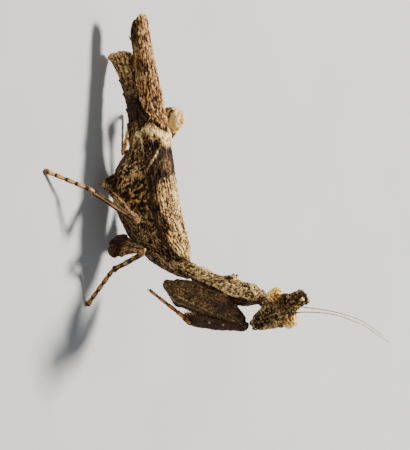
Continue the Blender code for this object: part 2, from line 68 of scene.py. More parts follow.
REAR = cad_box[0][0] / MM + 0.25                # x of the wings' blunt tips
MIDLINE = sum(corner[1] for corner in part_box("pterothorax")) / 2 / MM
LEFT = np.array([0.0, 1.0, 0.0])
MASKS = ("pale", "dark", "warm", "height")


# ---- numbers

def unit(v):
    return v / np.maximum(np.linalg.norm(v, axis=-1, keepdims=True), 1e-9)


def ease(x, low, high):
    """0 below low, 1 above high, smooth between; low may be the larger of the two."""
    t = np.clip((x - low) / (high - low), 0.0, 1.0)
    return t * t * (3 - 2 * t)


def span(x, start, full, last, stop):
    """0 up to start, 1 from full to last, and 0 again past stop."""
    return ease(x, start, full) * ease(x, stop, last)


def hill(x, middle, width):
    return np.exp(-((x - middle) / width) ** 2)


def cosine(degrees):
    return np.cos(np.radians(degrees))


def ripple(run, length):
    return np.sin(run * 2 * math.pi / length)


def spaced(x, y=0.0, z=0.0):
    """Places for noise from numbers or grids of them."""
    return np.stack(np.broadcast_arrays(x, y, z), -1)


def hashed(cell, seed):
    """An even pseudo-random number from 0 to 1 for each lattice cell."""
    h = cell[..., 0] * 73856093 ^ cell[..., 1] * 19349663 ^ cell[..., 2] * 83492791
    h = (h ^ seed * 2654435761) & 0xFFFFFFFF
    for shift, factor in ((15, 2246822519), (13, 3266489917)):
        h = ((h ^ (h >> shift)) * factor) & 0xFFFFFFFF
    return ((h ^ (h >> 16)) & 0xFFFFFF) / 0xFFFFFF


def noise(p, seed):
    """Smooth noise from -1 to 1, its features about one unit across."""
    cell = np.floor(p).astype(np.int64)
    f = p - cell
    f = f * f * f * (f * (f * 6 - 15) + 10)
    total = 0.0
    for corner in itertools.product((0, 1), repeat=3):
        weight = 1.0
        for axis, far in enumerate(corner):
            weight = weight * (f[..., axis] if far else 1 - f[..., axis])
        total = total + weight * hashed(cell + corner, seed)
    return total * 2 - 1


def layered(p, seed, octaves):
    """Noise with ever finer and weaker noise on top."""
    return sum(0.55 ** octave * noise(p * 2.03 ** octave, seed + 31 * octave)
               for octave in range(octaves))


def cells(p, seed):
    """Distance to the nearest and next nearest scattered point, and the nearest's number."""
    base = np.floor(p).astype(np.int64)
    first = np.full(p.shape[:-1], 9.0)
    second = first.copy()
    own = np.zeros(p.shape[:-1])
    for offset in itertools.product((-1, 0, 1), repeat=3):
        cell = base + offset
        spot = cell + np.stack([hashed(cell, seed + axis) for axis in range(3)], -1)
        away = np.linalg.norm(p - spot, axis=-1)
        own = np.where(away < first, hashed(cell, seed + 3), own)
        second = np.minimum(second, np.maximum(first, away))
        first = np.minimum(first, away)
    return first, second, own


def blurred(grid, rows, columns, closed):
    """Gaussian smoothing over so many rows and columns."""
    for axis, width, mode in ((0, rows, "edge"), (1, columns, "wrap" if closed else "edge")):
        reach = int(math.ceil(width * 2.5))
        if reach < 1 or grid.ndim <= axis:
            continue
        kernel = np.exp(-0.5 * (np.arange(-reach, reach + 1) / width) ** 2)
        kernel /= kernel.sum()
        pad = [(0, 0)] * grid.ndim
        pad[axis] = (reach, reach)
        padded = np.pad(grid, pad, mode=mode)
        size = grid.shape[axis]
        grid = sum(k * np.take(padded, np.arange(i, i + size), axis)
                   for i, k in enumerate(kernel))
    return grid


# ---- lines and places

def through(points, count=400):
    """Evenly spaced places on a smooth curve through a few points."""
    points = np.asarray(points, float)
    padded = np.vstack([2 * points[0] - points[1], points, 2 * points[-1] - points[-2]])
    t = np.linspace(0, 1, 40, endpoint=False)[:, None]
    runs = [0.5 * (2 * b + (c - a) * t + (2 * a - 5 * b + 4 * c - d) * t ** 2
                   + (3 * b - a - 3 * c + d) * t ** 3)
            for a, b, c, d in zip(padded, padded[1:], padded[2:], padded[3:])]
    dense = np.vstack(runs + [points[-1:]])
    return places(dense, np.linspace(0, distances(dense)[-1], count))


def distances(path):
    return np.concatenate([[0.0], np.cumsum(np.linalg.norm(np.diff(path, axis=0), axis=1))])


def places(path, where):
    """Points of a path at given distances along it."""
    run = distances(path)
    return np.stack([np.interp(where, run, path[:, axis]) for axis in range(3)], -1)


def frames_of(path, side):
    """Unit vectors up from a path and to the side of it, the last as near side as can be."""
    along = unit(np.gradient(path, axis=0))
    up = unit(np.cross(along, side))
    return up, np.cross(up, along)


def points_of(name):
    """A CAD node's points, in millimetres."""
    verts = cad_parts[name].data.vertices
    flat = np.empty(len(verts) * 3)
    verts.foreach_get("co", flat)
    return flat.reshape(-1, 3) / MM


def middle_of(name):
    """The middle of a node's box."""
    low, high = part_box(name)
    return np.array((low + high) / 2) / MM


def end_of(name, way, depth=0.12):
    """The middle of the last bit of a node in one direction."""
    points = points_of(name)
    reach = points @ unit(np.asarray(way, float))
    return points[reach > reach.max() - depth].mean(0)


def at(ahead, left, height):
    """A place given ahead of the wing tips, left of the midline and above the floor."""
    return np.array([REAR + ahead, MIDLINE + left, height])


def tree_of(names):
    """Some nodes' faces, for casting rays on."""
    points, faces = [], []
    for name in names:
        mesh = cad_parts[name].data
        first = len(points)
        points += [vert.co / MM for vert in mesh.vertices]
        faces += [[first + i for i in face.vertices] for face in mesh.polygons]
    return BVHTree.FromPolygons(points, faces)


# ---- forms

class Form:
    """A surface in rows along a piece and columns round it."""

    def __init__(self, centre, up, side, radius, angle, closed=True):
        angle = np.broadcast_to(angle, radius.shape)
        ways = up[:, None] * np.cos(angle)[..., None] + side[:, None] * np.sin(angle)[..., None]
        self.points = centre[:, None] + ways * radius[..., None]
        self.centre = centre
        self.angle = np.degrees(angle)
        self.run = distances(centre)[:, None] + np.zeros(radius.shape)
        self.share = self.run / max(self.run.max(), 1e-9)
        self.lie = np.stack([self.run, radius * np.sin(angle), radius * np.cos(angle)], -1)
        self.closed = closed
        self.folded = False
        self.masks = {name: np.zeros(radius.shape) for name in MASKS}

    @property
    def ahead(self):
        return self.points[..., 0] - REAR

    def near(self, place, width):
        """1 at a place, falling to nothing at about twice the width from it."""
        return np.exp(-((self.points - place) ** 2).sum(-1) / width ** 2)

    def off(self, angle):
        """How many degrees the columns lie from an angle."""
        return np.abs((self.angle - angle + 180) % 360 - 180)

    def lines(self, width, *angles):
        """1 on lines along the form at some angles, fading over so many degrees."""
        return sum(hill(self.off(angle), 0, width) for angle in angles)

    def normals(self):
        down = np.gradient(self.points, axis=0)
        if self.closed:
            across = np.roll(self.points, -1, 1) - np.roll(self.points, 1, 1)
        else:
            across = np.gradient(self.points, axis=1)
        return unit(np.cross(down, across))

    def push(self, amount, shade=1.0):
        """Raise the surface by so many millimetres; shade tells the material how much."""
        self.points = self.points + self.normals() * np.asarray(amount)[..., None]
        self.masks["height"] = self.masks["height"] + np.asarray(amount) * shade

    def mark(self, name, *amounts):
        """Strengthen a mask by one amount after another, never past 1."""
        for amount in amounts:
            self.masks[name] = np.clip(self.masks[name] + amount, 0.0, 1.0)

    def fade(self, name, amount):
        self.masks[name] = self.masks[name] * (1 - amount)

    def rings(self, shares, width, amount, name="dark"):
        """Marks round the form at some shares of its length."""
        self.mark(name, *(amount * hill(self.share, share, width) for share in shares))

    def fold(self, inner):
        """Make this open surface a thin closed sheet with those points on its inner face."""
        self.folded = self.closed = True
        self.points = np.hstack([self.points, inner[:, ::-1]])
        self.lie = np.hstack([self.lie, self.lie[:, ::-1]])
        for name, mask in self.masks.items():
            self.masks[name] = np.hstack([mask, mask[:, ::-1]])

    def parts(self):
        """Points, four-sided and three-sided faces, places on the unwrap, and attributes."""
        rows, columns = self.points.shape[:2]
        index = np.arange(rows * columns).reshape(rows, columns)
        turned = np.hstack([index, index[:, :1]])
        v = np.linspace(0, 1, columns + 1)
        uv = np.stack(np.broadcast_arrays(np.linspace(0, 1, rows)[:, None], v), -1)
        quads, spots = (np.stack([g[:-1, :-1], g[1:, :-1], g[1:, 1:], g[:-1, 1:]], 2)
                        for g in (turned, uv))
        quads, spots = [quads.reshape(-1, 4)], [spots.reshape(-1, 2)]
        triangles = [np.empty((0, 3), int)]
        if self.folded:
            out = np.arange(columns // 2 - 1)
            back = columns - 1 - out
            for end, step in ((0, 1), (1, -1)):
                ring = np.stack([out, out + 1, back - 1, back], -1)[:, ::step]
                quads.append(index[-end][ring])
                spots.append(np.stack([np.full(ring.shape, float(end)), v[ring]], -1))
        else:
            middles = (v[:-1] + v[1:]) / 2
            for end, order in ((0, (0, 1, 2)), (1, (0, 2, 1))):
                line = turned[-end]
                pole = np.full(columns, rows * columns + end)
                triangles.append(np.stack([pole, line[:-1], line[1:]], -1)[:, order])
                place = np.stack([middles, v[:-1], v[1:]], -1)[:, order]
                spots.append(np.stack([np.full(place.shape, float(end)), place], -1))

        def flat(grid):
            ends = [] if self.folded else [grid[:1].mean(1), grid[-1:].mean(1)]
            return np.concatenate([grid.reshape((-1,) + grid.shape[2:])] + ends)

        data = {name: flat(mask) for name, mask in self.masks.items()}
        data["lie"] = flat(self.lie)
        spots = np.vstack([spot.reshape(-1, 2) for spot in spots])
        return flat(self.points), np.vstack(quads), np.vstack(triangles), spots, data


def stations(length, step, caps, cap_rows):
    """Distances of the rows along a piece, and a factor on the radius that rounds its ends."""
    turn = np.linspace(0.05, 1, cap_rows, endpoint=False) * math.pi / 2
    start = caps[0] * (1 - np.cos(turn))
    stop = length - caps[1] * (1 - np.cos(turn))
    count = max(4, int((length - sum(caps)) / step))
    middle = np.linspace(caps[0], length - caps[1], count)
    where = np.concatenate([start, middle, stop[::-1]])
    factor = np.concatenate([np.sin(turn), np.ones(count), np.sin(turn)[::-1]])
    return where, factor


def shoot(tree, centre, up, side, angle, reach):
    """Radii at which rays from outside first meet the nodes; a miss is not a number."""
    radius = np.full((len(centre), len(angle)), np.nan)
    for i in range(len(centre)):
        middle = Vector(centre[i])
        for j, turn in enumerate(angle):
            way = Vector(up[i] * math.cos(turn) + side[i] * math.sin(turn))
            hit = tree.ray_cast(middle + way * reach, -way, reach)
            if hit[0] is not None:
                radius[i, j] = reach - hit[3]
    return radius


def filled(radius):
    """The same radii with the misses filled in along the piece."""
    rows = np.arange(len(radius))
    for column in radius.T:
        known = ~np.isnan(column)
        column[~known] = np.interp(rows[~known], rows[known], column[known]) if known.any() else 0
    return radius


def cast_form(names, path, side, step, columns, reach=4.0, caps=(0.3, 0.3), cap_rows=6,
              flat=1.0, centred=0, soft=0.22, casts=48, swell=1.0):
    """A closed form with the outline of some CAD nodes round a line inside them.

    flat is how much closer the columns lie towards the up and down edges, for a blade.
    soft is the width in millimetres over which the nodes' facets are smoothed away.
    """
    tree = tree_of(names)
    spread = np.linspace(0, 2 * math.pi, casts, endpoint=False)
    angle = np.arctan2(np.sin(spread), flat * np.cos(spread))
    length = distances(path)[-1]
    path = places(path, np.linspace(0, length, max(10, int(length / 0.2))))
    for turn in range(centred + 1):
        up, across = frames_of(path, side)
        radius = filled(shoot(tree, path, up, across, angle, reach))
        if turn < centred:
            ways = up[:, None] * np.cos(angle)[:, None] + across[:, None] * np.sin(angle)[:, None]
            path = blurred(path + (ways * radius[..., None]).mean(1), 2.0, 0, False)
    old = distances(path)
    rows, factor = stations(old[-1], step, caps, cap_rows)
    radius = np.stack([np.interp(rows, old, column) for column in radius.T], -1)
    new_spread = np.linspace(0, 2 * math.pi, columns, endpoint=False)
    wrapped = np.append(spread, 2 * math.pi)
    radius = np.stack([np.interp(new_spread, wrapped, np.append(row, row[0])) for row in radius])
    radius = blurred(radius, soft / step, 0.6 * columns / casts + soft * columns / 12, True)
    fine = blurred(places(path, rows), 2.0, 0, False)
    up, across = frames_of(fine, side)
    angle = np.arctan2(np.sin(new_spread), flat * np.cos(new_spread))
    return Form(fine, up, across, radius * factor[:, None] * swell, angle)


def limb_form(name, near, facing, step=0.09, columns=36, joined=False, **how):
    """A leg's segment; of its two ends, start is the one nearer the place near.

    Its flexed side, at 180 degrees, turns towards the place facing. A joined segment
    starts right at the place near, inside the segment before it.
    """
    points = points_of(name)
    axes = np.linalg.svd(points - points.mean(0), full_matrices=False)[2]
    start, stop = sorted((end_of(name, axes[0] * way, 0.10) for way in (-1, 1)),
                         key=lambda end: np.linalg.norm(end - near))
    thin = axes[2]
    line = [start, (start + stop) / 2, stop]
    if joined:
        line = [near, start + unit(stop - start) * 0.15] + line[1:]
    if np.cross(unit(stop - start), thin) @ (facing - (start + stop) / 2) > 0:
        thin = -thin
    form = cast_form([name], through(line, 60), thin, step, columns, **how)
    form.start, form.stop = start, stop
    return form


# ---- small cones

def cones(roots, ways, length, width, sides=5, bend=(0, 0, 0), rings=4, **tint):
    """Many tapering spines, each a short tube from its root to a point; tint sets masks."""
    roots, ways = np.atleast_2d(roots), unit(np.atleast_2d(ways))
    count = len(roots)
    other = np.where(np.abs(ways[:, 2:3]) < 0.8, [[0.0, 0.0, 1.0]], [[1.0, 0.0, 0.0]])
    a = unit(np.cross(ways, other))
    b = np.cross(ways, a)
    bend = np.asarray(bend)
    layers = []
    for level in np.linspace(0, 1, rings + 1)[:-1]:
        centre = roots + ways * length * level + bend * length * level ** 2
        thick = width * (1 - level) ** 0.8
        for turn in np.arange(sides) * 2 * math.pi / sides:
            layers.append(centre + (a * math.cos(turn) + b * math.sin(turn)) * thick)
    layers += [roots + ways * length + bend * length, roots]
    points = np.stack(layers, 1)
    per = len(layers)
    top = (rings - 1) * sides
    low = np.arange(sides)
    after = (low + 1) % sides
    ring = np.arange(0, top, sides)[:, None]
    quads = np.stack([ring + low, ring + after, ring + sides + after, ring + sides + low], -1)
    tip, base = np.full(sides, per - 2), np.full(sides, per - 1)
    triangles = np.stack([top + low, top + after, tip, after, low, base], -1)
    shift = np.arange(count)[:, None, None] * per
    quads = (quads.reshape(-1, 4) + shift).reshape(-1, 4)
    triangles = (triangles.reshape(-1, 3) + shift).reshape(-1, 3)
    flat = points.reshape(-1, 3)
    number = np.stack([np.arange(count)] * 3, -1)
    spot = np.stack([np.repeat(hashed(number, seed), per) for seed in (5, 6)], -1) * 0.98 + 0.01
    corner = np.concatenate([quads.reshape(-1), triangles.reshape(-1)])
    data = {name: np.full(len(flat), float(tint.get(name, 0))) for name in MASKS}
    data["lie"] = flat
    return flat, quads, triangles, spot[corner], data


def bristles(form, rows, angles, length, width, lean=0.6, seed=0, wild=0.5, **tint):
    """Short stiff hairs on a form at shares of its length and angles round it."""
    roots, ways = [], []
    normals = form.normals()
    along = unit(np.gradient(form.centre, axis=0))
    for number, (share, turn) in enumerate(itertools.product(rows, angles)):
        i = int(np.argmin(np.abs(form.share[:, 0] - share)))
        j = int(np.argmin(form.off(turn)[i]))
        spread = hashed(np.array([number, seed, 3]), 7) - 0.5
        roots.append(form.points[i, j] - normals[i, j] * 0.02)
        ways.append(unit(normals[i, j] + along[i] * lean + spread * wild))
    return cones(roots, ways, length, width, sides=4, **tint)


# ---- objects

def added(name, data):
    """A new object, in the scene."""
    thing = bpy.data.objects.new(name, data)
    bpy.context.scene.collection.objects.link(thing)
    return thing


def build(name, pieces, material, nodes):
    """One object from forms and cones, in metres, riding on the model."""
    pieces = [piece.parts() if isinstance(piece, Form) else piece for piece in pieces]
    points, loops, sizes, spots = [], [], [], []
    first = 0
    for number, (place, quads, triangles, spot, _) in enumerate(pieces):
        points.append(place)
        loops += [(quads + first).reshape(-1), (triangles + first).reshape(-1)]
        sizes += [np.full(len(quads), 4), np.full(len(triangles), 3)]
        strip = (spot[:, 1] * 0.96 + 0.02 + number) / len(pieces)
        spots.append(np.stack([spot[:, 0], strip], -1))
        first += len(place)
    points, loops, sizes, spots = map(np.concatenate, (points, loops, sizes, spots))
    mesh = bpy.data.meshes.new(name)
    mesh.vertices.add(len(points))
    mesh.vertices.foreach_set("co", (points * MM).astype(np.float32).reshape(-1))
    mesh.loops.add(len(loops))
    mesh.loops.foreach_set("vertex_index", loops.astype(np.int32))
    mesh.polygons.add(len(sizes))
    mesh.polygons.foreach_set("loop_start", (np.cumsum(sizes) - sizes).astype(np.int32))
    mesh.update(calc_edges=True)
    unwrap = mesh.uv_layers.new(name="OFBake")
    unwrap.data.foreach_set("uv", spots.astype(np.float32).reshape(-1))
    for key in MASKS + ("lie",):
        kind, field = ("FLOAT_VECTOR", "vector") if key == "lie" else ("FLOAT", "value")
        layer = mesh.attributes.new(key, kind, "POINT")
        values = np.concatenate([piece[4][key] for piece in pieces])
        layer.data.foreach_set(field, values.astype(np.float32).reshape(-1))
    mesh.validate(clean_customdata=False)
    mesh.shade_smooth()
    mesh.materials.append(material)
    thing = added(name, mesh)
    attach(thing, "root")
    if nodes:
        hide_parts(*nodes)


# ---- materials

def tones(*colours):
    """Colours given as 0 to 255 display values, made linear."""
    return [tuple((c / 255 / 12.92) if c < 11 else ((c / 255 + 0.055) / 1.055) ** 2.4
                  for c in colour) + (1.0,) for colour in colours]


def grey(level):
    return (level, level, level, 1.0)


class Looks:
    """A material as its nodes are added."""

    def __init__(self, name):
        self.material = bpy.data.materials.new(name)
        self.material.use_nodes = True
        self.tree = self.material.node_tree
        self.shader = self.tree.nodes["Principled BSDF"].inputs

    def fill(self, inputs, sockets):
        """Links or sets a node's sockets."""
        for key, value in dict(sockets).items():
            if isinstance(value, bpy.types.NodeSocket):
                self.tree.links.new(value, inputs[key])
            else:
                inputs[key].default_value = value

    def put(self, kind, sockets=(), **settings):
        """The outputs of a new node with its settings and sockets filled in."""
        made = self.tree.nodes.new("ShaderNode" + kind)
        for key, value in settings.items():
            setattr(made, key, value)
        self.fill(made.inputs, sockets)
        return made.outputs

    def maths(self, operation, a, b, clamp=False):
        return self.put("Math", {0: a, 1: b}, operation=operation, use_clamp=clamp)[0]

    def ramp(self, value, stops):
        colours = self.put("ValToRGB", {0: value})[0]
        band = colours.node.color_ramp.elements
        while len(band) < len(stops):
            band.new(0.5)
        for element, (place, colour) in zip(band, stops):
            element.position = place
            element.color = colour
        return colours

    def mixed(self, amount, low, high):
        return self.put("MixRGB", {"Fac": amount, "Color1": low, "Color2": high})[0]


BROWNS = tones((6, 2, 0), (46, 25, 7), (98, 66, 29), (158, 118, 66), (228, 192, 136))
WING_BROWNS = tones((14, 5, 1), (76, 42, 15), (130, 86, 42), (178, 130, 76), (232, 194, 140))
DARK_BROWNS = tones((4, 2, 0), (32, 20, 6), (66, 46, 18), (108, 80, 40), (184, 150, 98))
LEG_BROWNS = tones((18, 8, 2), (74, 46, 18), (126, 88, 46), (196, 158, 106))
BANDS = tones((84, 46, 14), (160, 106, 50), (220, 168, 100), (250, 216, 164))
EYE_TONES = tones((170, 84, 4), (255, 158, 18), (255, 206, 56), (255, 244, 150))
CREAM = tones((96, 54, 14), (255, 222, 148))
ORANGE = tones((74, 34, 5), (255, 178, 84))
# The dark mask's colours: the cuticle's deep browns, and painted shade where the dark mask stands
# for shade.
DARK_AND_SHADE = tones((3, 1, 0), (64, 42, 20))
EYE_BANDS = tones((34, 12, 1), (132, 62, 10))
GRAIN = 6.6             # grains to the millimetre
SPECK_SCALE = 3.8       # places for a dark speck to the millimetre
BUMP_DEPTH = 0.00009    # metres


def bark(name, ground, stretch, streaks=8.0, relief=2.6, specks=0.0, rough=(0.6, 0.9), bump=0.7,
         glow=0.0, mosaic=0.75, streaky=2.4, gloss=0.16, dark=DARK_AND_SHADE):
    """Bark-like cuticle: streaks along the lie, a mosaic of grains, specks, and four masks.

    ground has the colours from deep grooves to ridges; the masks warm, pale and dark each
    bring in a pair of colours, broken up by the streaks. In places the pale mask carries
    painted light and the dark mask painted shade. A stretch below 1 draws the streaks
    out along the piece; streaky, mosaic and relief say how much each of them shifts the tone.
    """
    looks = Looks(name)
    put, maths = looks.put, looks.maths

    def swing(value, amount):
        return maths("MULTIPLY", maths("SUBTRACT", value, 0.5), amount)

    def drawn(factor):
        return put("VectorMath", {0: lie, 1: (factor, 1.0, 1.0)}, operation="MULTIPLY")[0]

    def scattered(scale):
        return put("TexVoronoi", {"Vector": half_drawn, "Scale": scale, "Randomness": 1.0})

    lie = put("Attribute", attribute_name="lie")["Vector"]
    half_drawn = drawn(0.4 + 0.6 * stretch)
    streak = put("TexNoise", {"Vector": drawn(stretch), "Scale": streaks, "Detail": 5.0,
                              "Roughness": 0.6, "Distortion": 0.5})["Fac"]
    grains = scattered(GRAIN)
    tint = put("SeparateColor", {0: grains["Color"]})[0]
    fine = put("TexNoise", {"Vector": half_drawn, "Scale": GRAIN * 1.7, "Detail": 3.0,
                            "Roughness": 0.6})["Fac"]
    patch = put("TexNoise", {"Vector": lie, "Scale": 0.7, "Detail": 3.0})["Fac"]
    value = 0.5
    for source, amount in ((streak, streaky), (tint, mosaic), (fine, 1.2), (patch, 0.5)):
        value = maths("ADD", value, swing(source, amount))
    height = put("Attribute", attribute_name="height")["Fac"]
    value = maths("ADD", value, maths("MULTIPLY", height, relief))
    colour = looks.ramp(value, list(zip(np.linspace(0.14, 0.90, len(ground)), ground)))
    ragged = swing(streak, 2.4)
    for key, pair in (("warm", ORANGE), ("pale", CREAM), ("dark", dark)):
        shade = looks.ramp(value, [(0.10, pair[0]), (0.90, pair[1])])
        amount = put("Attribute", attribute_name=key)["Fac"]
        edge = maths("MULTIPLY", maths("MULTIPLY", amount, ragged), maths("SUBTRACT", 1.0, amount))
        amount = maths("ADD", amount, maths("MULTIPLY", edge, 4.0), clamp=True)
        colour = looks.mixed(amount, colour, shade)
    if specks:
        spots = scattered(SPECK_SCALE)
        chance = put("SeparateColor", {0: spots["Color"]})[0]
        size = maths("MULTIPLY", maths("SUBTRACT", chance, 1.0 - specks), 0.85)
        inside = maths("LESS_THAN", spots["Distance"], size)
        colour = looks.mixed(maths("MULTIPLY", inside, 0.9), colour, dark[0])
    shine = put("MapRange", {"Value": fine, "To Min": rough[0], "To Max": rough[1]})[0]
    lumps = maths("ADD", streak, maths("MULTIPLY", fine, 0.6))
    lumps = maths("SUBTRACT", lumps, maths("MULTIPLY", grains["Distance"], 0.5))
    raised = put("Bump", {"Strength": bump, "Distance": BUMP_DEPTH, "Height": lumps})[0]
    looks.fill(looks.shader, {"Base Color": colour, "Roughness": shine, "Normal": raised,
                              "Specular IOR Level": gloss})
    if glow:
        looks.fill(looks.shader, {"Subsurface Weight": glow, "Subsurface Scale": 0.0004,
                                  "Subsurface Radius": (1.0, 0.45, 0.15)})
    return looks


def eye_looks():
    """Banded compound eye: a fine net of facets under a soft shine."""
    looks = bark("eye_facets", EYE_TONES, 1.0, streaks=3.0, rough=(0.22, 0.4), bump=0.2,
                 relief=1.0, gloss=0.4, dark=EYE_BANDS)
    lie = looks.put("Attribute", attribute_name="lie")["Vector"]
    facets = looks.put("TexVoronoi", {"Vector": lie, "Scale": 22.0, "Randomness": 0.15})
    raised = looks.put("Bump", {"Strength": 0.5, "Distance": 0.00002,
                                "Height": facets["Distance"]}, invert=True)[0]
    looks.fill(looks.shader, {"Normal": raised})
    return looks


SKIN = bark("bark_skin", BROWNS, 0.4, specks=0.15).material
WING = bark("bark_wing", WING_BROWNS, 0.25, specks=0.24, streaky=1.9).material
HIND_WING = bark("hind_wing", BROWNS, 0.1).material
FACE = bark("bark_face", DARK_BROWNS, 0.9, streaks=7.0, streaky=1.8).material
MOUTH_SKIN = bark("mouth_skin", DARK_BROWNS, 1.0, rough=(0.3, 0.5)).material
FORELEG = bark("bark_foreleg", DARK_BROWNS, 0.5, streaky=1.4, rough=(0.45, 0.7), mosaic=0.28,
               relief=1.6).material
LEG = bark("bark_leg", LEG_BROWNS, 0.3, glow=0.15).material
BANDED = bark("banded_leg", BANDS, 0.5, glow=0.3, mosaic=0.4).material
FEELER = bark("feeler", BANDS, 0.3, glow=0.3, mosaic=0.3).material
EYE = eye_looks().material


# ---- the body

def roughen(form, seed, streak, lumps, grains, stretch=0.25):
    """The relief that all bark-like cuticle shares: ridges along the lie, lumps and grains."""
    lie = form.lie + 40.0 * seed
    ridges = 0.5 - 1.6 * np.abs(layered(lie * [stretch, 1.0, 1.0] * 2.2, seed, 2))
    form.push(ridges * streak + layered(lie * 0.9, seed + 1, 3) * lumps)
    first, _, own = cells(lie * [0.7, 1.0, 1.0] * 3.8, seed + 2)
    form.push(np.maximum(0.62 - first, -0.1) * grains * (0.3 + own) * 1.4)


# Where each ring of the abdomen ends to the rear, in millimetres ahead of the wing tips.
RING_ENDS = np.array([3.4, 6.0, 7.5, 9.0, 10.5, 12.0, 13.4, 14.8])
HUMPS, KNOBS, SHOULDERS = ([at(ahead, side * out, height) for side in (-1, 1)]
                           for ahead, out, height in ((25.85, 0.42, 14.95), (27.05, 0.38, 16.9),
                                                      (24.75, 0.45, 11.0)))


def make_body():
    """One skin over thorax, abdomen, prothorax and neck."""
    names = ["abdomen_tip", "abdomen_rear", "abdomen_front", "pterothorax", "prothorax", "neck"]
    rear_end = end_of("abdomen_tip", (-1, 0, 0), 0.3) + [-0.05, 0, 0]
    path = [rear_end, rear_end + [0.4, 0, 0.02]] + [middle_of(name) for name in names[:4]]
    path += [end_of("pterothorax", (0.57, 0, 0.82)), middle_of("prothorax"),
             end_of("prothorax", (0, 0, 1)), end_of("neck", (0, 0, 1))]
    form = cast_form(names, through(path), LEFT, step=0.078, columns=208, reach=4.6,
                     caps=(0.12, 0.3), cap_rows=14, centred=3, casts=72)
    # How far ahead and how high each row's middle is, and the degrees from the back's ridge.
    middle = (form.centre[:, 0] - REAR)[:, None] + 0 * form.run
    level = form.centre[:, 2][:, None] + 0 * form.run
    turn = np.abs(form.angle)
    collar = ease(level, 9.1, 10.1)         # the pronotum
    fan = ease(middle, 6.1, 5.8)            # the last segment

    def spot(ahead, left, height, width):
        return form.near(at(ahead, left, height), width)

    # Overlapping rings of the abdomen, with small pointed lobes low on either side.
    ends = RING_ENDS
    ring = np.clip(np.searchsorted(ends, middle) - 1, 0, len(ends) - 2)
    back = np.clip(1 - (middle - ends[ring]) / (ends[ring + 1] - ends[ring]), 0, 1)
    back = back * (middle < ends[-1]) * (middle > ends[1])
    form.push(back ** 3 * 0.09)
    lobe = hill(turn, 146, 11) * back ** 4
    form.push(lobe * 0.16)

    # The last segment flares like a fan, ribbed along and beaded at its blunt end.
    ribs = np.cos(np.radians(form.angle) * 17 + 1.5 * layered(form.lie * 0.8, 5, 2))
    form.push(fan * ribs * 0.035)
    form.push(0.12 * np.clip((6.4 - middle) / 2.6, 0, 1) * ease(turn, 70, 150), 0.0)
    corner = spot(4.5, -0.1, 0.95, 0.85) * ease(middle, 6.4, 5.4)
    form.points = form.points + corner[..., None] * [-0.80, 0, -0.42]
    tip_beads = ease(middle, 4.5, 3.9) * np.maximum(0.6 - cells(form.lie * 3.3, 6)[0], 0)
    form.push(tip_beads * 0.30)
    roughen(form, 1, streak=0.05, lumps=0.05, grains=0.06)
    form.push(-0.30 * hill(middle, 13.2, 1.3) * ease(turn, 90, 130), 0.0)

    # Crinkled pleats on the soft flank; their crests get painted highlights and their troughs
    # painted shade further down.
    ahead, left, height = np.moveaxis(form.points - [REAR, MIDLINE, 0.0], -1, 0)
    pleated = (span(ahead, 13.9, 15.4, 18.4, 20.4) * span(height, 2.2, 3.0, 6.2, 7.0)
               * span(turn, 48, 62, 135, 165))
    warp = np.stack([(ahead * 0.80 + height * 0.60) / 0.34, (height * 0.80 - ahead * 0.60) / 1.1,
                     left * 0.3], -1)
    warp = warp + 1.0 * layered(form.lie * 0.7, 9, 2)[..., None]
    folds = 1 - 2 * np.abs(layered(warp, 11, 2))
    form.push(pleated * folds * 0.11)

    # Seams between the plates of the thorax wall.
    thorax = ease(middle, 17.5, 19.5) * (1 - collar)
    seam = np.abs(noise(spaced(ahead * 0.42 + height * 0.2, height * 0.2), 21))
    form.push(-0.09 * thorax * ease(seam, 0.05, 0.0))

    # The pronotum: paired spiked humps, knobs, low shoulders, and a toothed side edge.
    for place in HUMPS:
        form.push(form.near(place, 0.36) * 0.38 + form.near(place, 0.16) * 0.25)
    for place in KNOBS:
        form.push(form.near(place, 0.28) * 0.20)
        form.push(form.near(place, 0.7) * 0.12, 0.0)
    for place in SHOULDERS:
        form.push(form.near(place, 0.42) * 0.16)
    edge = hill(turn, 100, 5.0) * collar * ease(level, 17.6, 17.0)
    form.push(edge * (0.13 + 0.05 * ripple(form.run, 0.42)))
    beads = collar * (turn < 100) * np.maximum(0.55 - cells(form.lie * 3.4 + 7.0, 31)[0], 0)
    form.push(beads * 0.16)
    form.push(0.22 * hill(level, 17.45, 0.45) * (turn < 120), 0.0)
    neck = ease(level, 17.3, 17.9)
    form.push(neck * ripple(form.run, 0.3) * 0.03)

    # The pronotum's grains and spots, with painted shade on the shadow side of the right hump and a
    # painted shadow line just under the toothed side edge.
    blotch = layered(form.lie * 0.5, 41, 3)
    fine_blotch = layered(form.lie * 1.3, 42, 2)
    grit = layered(form.lie * 5.4, 43, 3)
    top = collar * ease(turn, 104, 92)
    sides = collar * (1 - ease(turn, 104, 92))
    crease = hill(ahead - 26.5, 0.75 * (height - 14.2), 0.10) * spot(26.6, -1.0, 14.4, 0.6)
    form.mark("pale", top * (0.24 + 0.14 * ease(level, 15.8, 14.5) + 0.25 * blotch + 0.45 * grit),
              collar * ease(beads, 0.10, 0.40) * 0.4,
              spot(27.3, -1.1, 15.6, 0.45) * (0.75 + 0.5 * grit))
    # Painted shade: the spot below and ahead of the right hump, and the thin line just under the
    # toothed edge.
    form.mark("dark", top * (0.4 * spot(25.2, -0.9, 13.6, 0.9) + 0.7 * ease(grit, -0.1, -0.7)),
              spot(26.5, -0.9, 14.4, 0.50) * (0.65 - 0.5 * grit),
              span(level, 15.2, 16.2, 16.8, 17.3) * (0.22 - 0.4 * grit),
              sides * 0.55, hill(turn, 107, 5) * collar * 0.8)
    form.mark("warm", spot(26.5, -0.6, 15.45, 0.30) * 0.6, sides * ease(level, 13.5, 15.0) * 0.25)
    form.push(0.08 * crease)
    form.mark("pale", crease * 0.8, hill(turn, 97, 3.5) * span(level, 13.6, 14.6, 17.0, 17.6))

